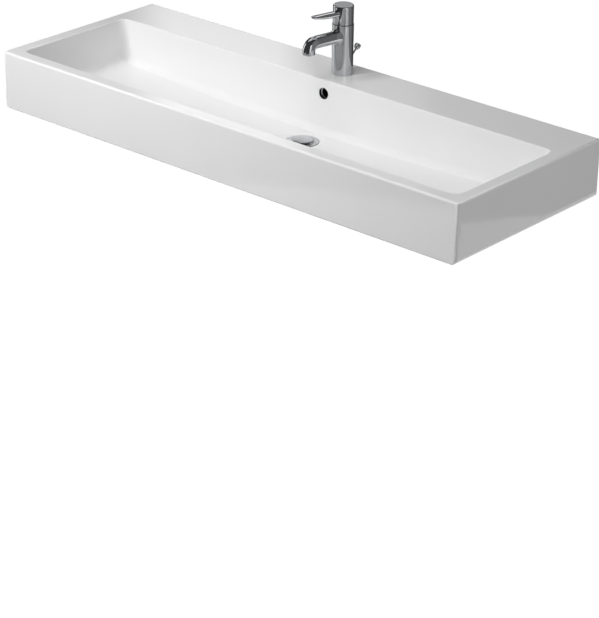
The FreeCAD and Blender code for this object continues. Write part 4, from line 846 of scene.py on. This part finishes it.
# %% Inputs of the thread tree
threads = bpy.data.node_groups.new("threaded_bar", "GeometryNodeTree")
for label, kind in {"Crest radius": "Float", "Thread depth": "Float", "Pitch": "Float", "Start": "Float",
                    "Length": "Float", "Point length": "Float", "Rows": "Int", "Columns": "Int",
                    "Copies": "Int", "Spacing": "Vector", "Finish": "Material"}.items():
    threads.interface.new_socket(label, in_out="INPUT", socket_type="NodeSocket" + kind)
threads.interface.new_socket("Geometry", in_out="OUTPUT", socket_type="NodeSocketGeometry")
given = add(threads, "NodeGroupInput")
print("thread tree", len(given.outputs) - 1, "inputs")

# %% How far out the metal stands, from the height and the angle
crest_share, root_share = 0.07, 0.44      # where a flank begins and ends, in pitches from the crest's middle
grid = add(threads, "GeometryNodeMeshGrid", None, {"Size X": 1.0, "Size Y": 1.0},
           {"Vertices X": (given, "Columns"), "Vertices Y": (given, "Rows")})
at = add(threads, "GeometryNodeInputPosition")
flat = add(threads, "ShaderNodeSeparateXYZ", None, None, {0: (at, 0)})
around = add(threads, math_node, {"operation": "ADD"}, {1: 0.5}, {0: (flat, "X")})
along = add(threads, math_node, {"operation": "ADD"}, {1: 0.5}, {0: (flat, "Y")})
rise = add(threads, math_node, {"operation": "MULTIPLY"}, None, {0: (along, 0), 1: (given, "Length")})
# One turn of angle lifts the ridge by one pitch; the fraction says where between two crests a point is
lifts = add(threads, math_node, {"operation": "DIVIDE"}, None, {0: (rise, 0), 1: (given, "Pitch")})
phase = add(threads, math_node, {"operation": "SUBTRACT"}, None, {0: (lifts, 0), 1: (around, 0)})
groove = add(threads, math_node, {"operation": "PINGPONG"}, {1: 0.5}, {0: (phase, 0)})
groove = add(threads, "ShaderNodeMapRange", None, {"From Min": crest_share, "From Max": root_share},
             {"Value": (groove, 0)})
# The groove runs out over one pitch at each end
left = add(threads, math_node, {"operation": "SUBTRACT"}, None, {0: (given, "Length"), 1: (rise, 0)})
near = add(threads, math_node, {"operation": "MINIMUM"}, None, {0: (left, 0), 1: (rise, 0)})
fade = add(threads, math_node, {"operation": "DIVIDE", "use_clamp": True}, None,
           {0: (near, 0), 1: (given, "Pitch")})
depth = add(threads, math_node, {"operation": "MULTIPLY"}, None, {0: (groove, 0), 1: (given, "Thread depth")})
depth = add(threads, math_node, {"operation": "MULTIPLY"}, None, {0: (depth, 0), 1: (fade, 0)})
out = add(threads, math_node, {"operation": "SUBTRACT"}, None, {0: (given, "Crest radius"), 1: (depth, 0)})
print("thread tree", len(threads.nodes), "nodes for the radius")

# %% Close the ends, roll the grid and copy the bar
end_gap = 0.01 * MM
# The first and last rows close on the axis, and a point narrows towards the far end
point = add(threads, math_node, {"operation": "DIVIDE", "use_clamp": True}, None,
            {0: (left, 0), 1: (given, "Point length")})
first = add(threads, math_node, {"operation": "GREATER_THAN"}, {1: end_gap}, {0: (near, 0)})
shut = add(threads, math_node, {"operation": "MULTIPLY"}, None, {0: (point, 0), 1: (first, 0)})
out = add(threads, math_node, {"operation": "MULTIPLY"}, None, {0: (out, 0), 1: (shut, 0)})
angle = add(threads, math_node, {"operation": "MULTIPLY"}, {1: 2 * math.pi}, {0: (around, 0)})
cosine = add(threads, math_node, {"operation": "COSINE"}, None, {0: (angle, 0)})
sine = add(threads, math_node, {"operation": "SINE"}, None, {0: (angle, 0)})
x = add(threads, math_node, {"operation": "MULTIPLY"}, None, {0: (out, 0), 1: (cosine, 0)})
y = add(threads, math_node, {"operation": "MULTIPLY"}, None, {0: (out, 0), 1: (sine, 0)})
z = add(threads, math_node, {"operation": "ADD"}, None, {0: (rise, 0), 1: (given, "Start")})
rolled = add(threads, "ShaderNodeCombineXYZ", None, None, {0: (x, 0), 1: (y, 0), 2: (z, 0)})
bar = add(threads, "GeometryNodeSetPosition", None, None,
          {"Geometry": (grid, "Mesh"), "Position": (rolled, 0)})
bar = add(threads, "GeometryNodeMergeByDistance", None, {"Distance": weld_gap}, {"Geometry": (bar, 0)})
row = add(threads, "GeometryNodeMeshLine", {"mode": "OFFSET"}, None,
          {"Count": (given, "Copies"), "Offset": (given, "Spacing")})
bars = add(threads, "GeometryNodeInstanceOnPoints", None, None, {"Points": (row, 0), "Instance": (bar, 0)})
bars = add(threads, "GeometryNodeRealizeInstances", None, None, {0: (bars, 0)})
bars = add(threads, "GeometryNodeSetShadeSmooth", None, None, {0: (bars, 0)})
bars = add(threads, "GeometryNodeSetMaterial", None, None,
           {"Geometry": (bars, 0), "Material": (given, "Finish")})
add(threads, "NodeGroupOutput", None, None, {0: (bars, 0)})
print("thread tree", len(threads.nodes), "nodes")

# %% Plain meshes from the thread tree
rows_per_pitch, bar_sides, no_point = 8, 32, 0.01


def threaded(crest, depth, pitch, start, length, point=no_point, copies=1, spacing=0.0):
    """A plain mesh of upright threaded bars, from sizes in millimetres."""
    values = {"Crest radius": crest * MM, "Thread depth": depth * MM, "Pitch": pitch * MM,
              "Start": start * MM, "Length": length * MM, "Point length": point * MM,
              "Rows": int(rows_per_pitch * length / pitch) + 1, "Columns": bar_sides + 1,
              "Copies": copies, "Spacing": (spacing * MM, 0, 0), "Finish": finishes["steel"]}
    holder = put("holder", bpy.data.meshes.new("holder"))
    step = holder.modifiers.new("thread", "NODES")
    step.node_group = threads
    for socket in threads.interface.items_tree:
        if socket.in_out == "INPUT":
            step[socket.identifier] = values[socket.name]
    settle(holder)
    data = holder.data
    bpy.data.objects.remove(holder)
    return data


def welded(name, meshes, turn):
    """One object from several meshes, each turned and placed, with all faces outwards."""
    made = bmesh.new()
    for data in meshes:
        data.transform(turn)
        made.from_mesh(data)
        bpy.data.meshes.remove(data)
    bmesh.ops.recalc_face_normals(made, faces=made.faces)
    piece = put(name, meshed(name, made))
    piece.data.materials.append(finishes["steel"])
    return piece


print("bars have", bar_sides, "sides")

# %% Wall bolts and tap stud
bolt_parts = [
    # crest radius, thread depth, pitch, start, length, length of the point
    (4.8, 0.85, 1.5, -34, 34.5, no_point),
    (5.0, 0.0, 3.75, 0, 15, no_point),
    (4.9, 1.1, 4.0, 14.5, 45.5, 12),
]
lying = Matrix.Translation((first_bolt * MM, 0, 0)) @ Matrix.Rotation(math.radians(-90), 4, "X")
bolts = welded("hanger_bolts", [threaded(*part, bolt_count, bolt_pitch) for part in bolt_parts], lying)
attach(bolts, "basin_unit")
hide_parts("wall_studs")
stud_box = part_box("mixer_stud")
stud_y = (stud_box[0].y + stud_box[1].y) / 2
stud_low, stud_high = (corner.z / MM for corner in stud_box)
stud_mesh = threaded(crest=3.0, depth=0.6, pitch=1.0, start=stud_low, length=stud_high - stud_low)
stud = welded("tap_stud", [stud_mesh], Matrix.Translation((0, stud_y, 0)))
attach(stud, "basin_unit")
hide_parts("mixer_stud")
print("bolts", len(bolts.data.polygons), "faces, tap stud", len(stud.data.polygons), "faces")

# %% [markdown]
# Every CAD piece whose shape is right stays as it is and only gets its finish, by the slot that the record
# names for it. The overflow channel gets the glaze with painted shade inside, and the drain the satin plate.

# %% Finish every piece
slot_of = {s["node"]: s["material_slot"] for s in frame["record"]["subparts"]}
special = {"overflow_duct": channel_painted_shade_finish, "waste_flange": satin_finish, "plug": satin_finish}
dressed = [(piece, special.get(name, finishes[slot_of[name]])) for name, piece in nodes.items()]
dressed += [(basin, finishes["ceramic"]), (lever, finishes["chrome"]), (liner, finishes["chrome"])]
for piece, finish in dressed:
    piece.data.materials.clear()
    piece.data.materials.append(finish)
print("finished", len(nodes), "CAD pieces")

# %% [markdown]
# The standard view transform shows the colours as they are written.

# %% View transform
scene.view_settings.view_transform = "Standard"
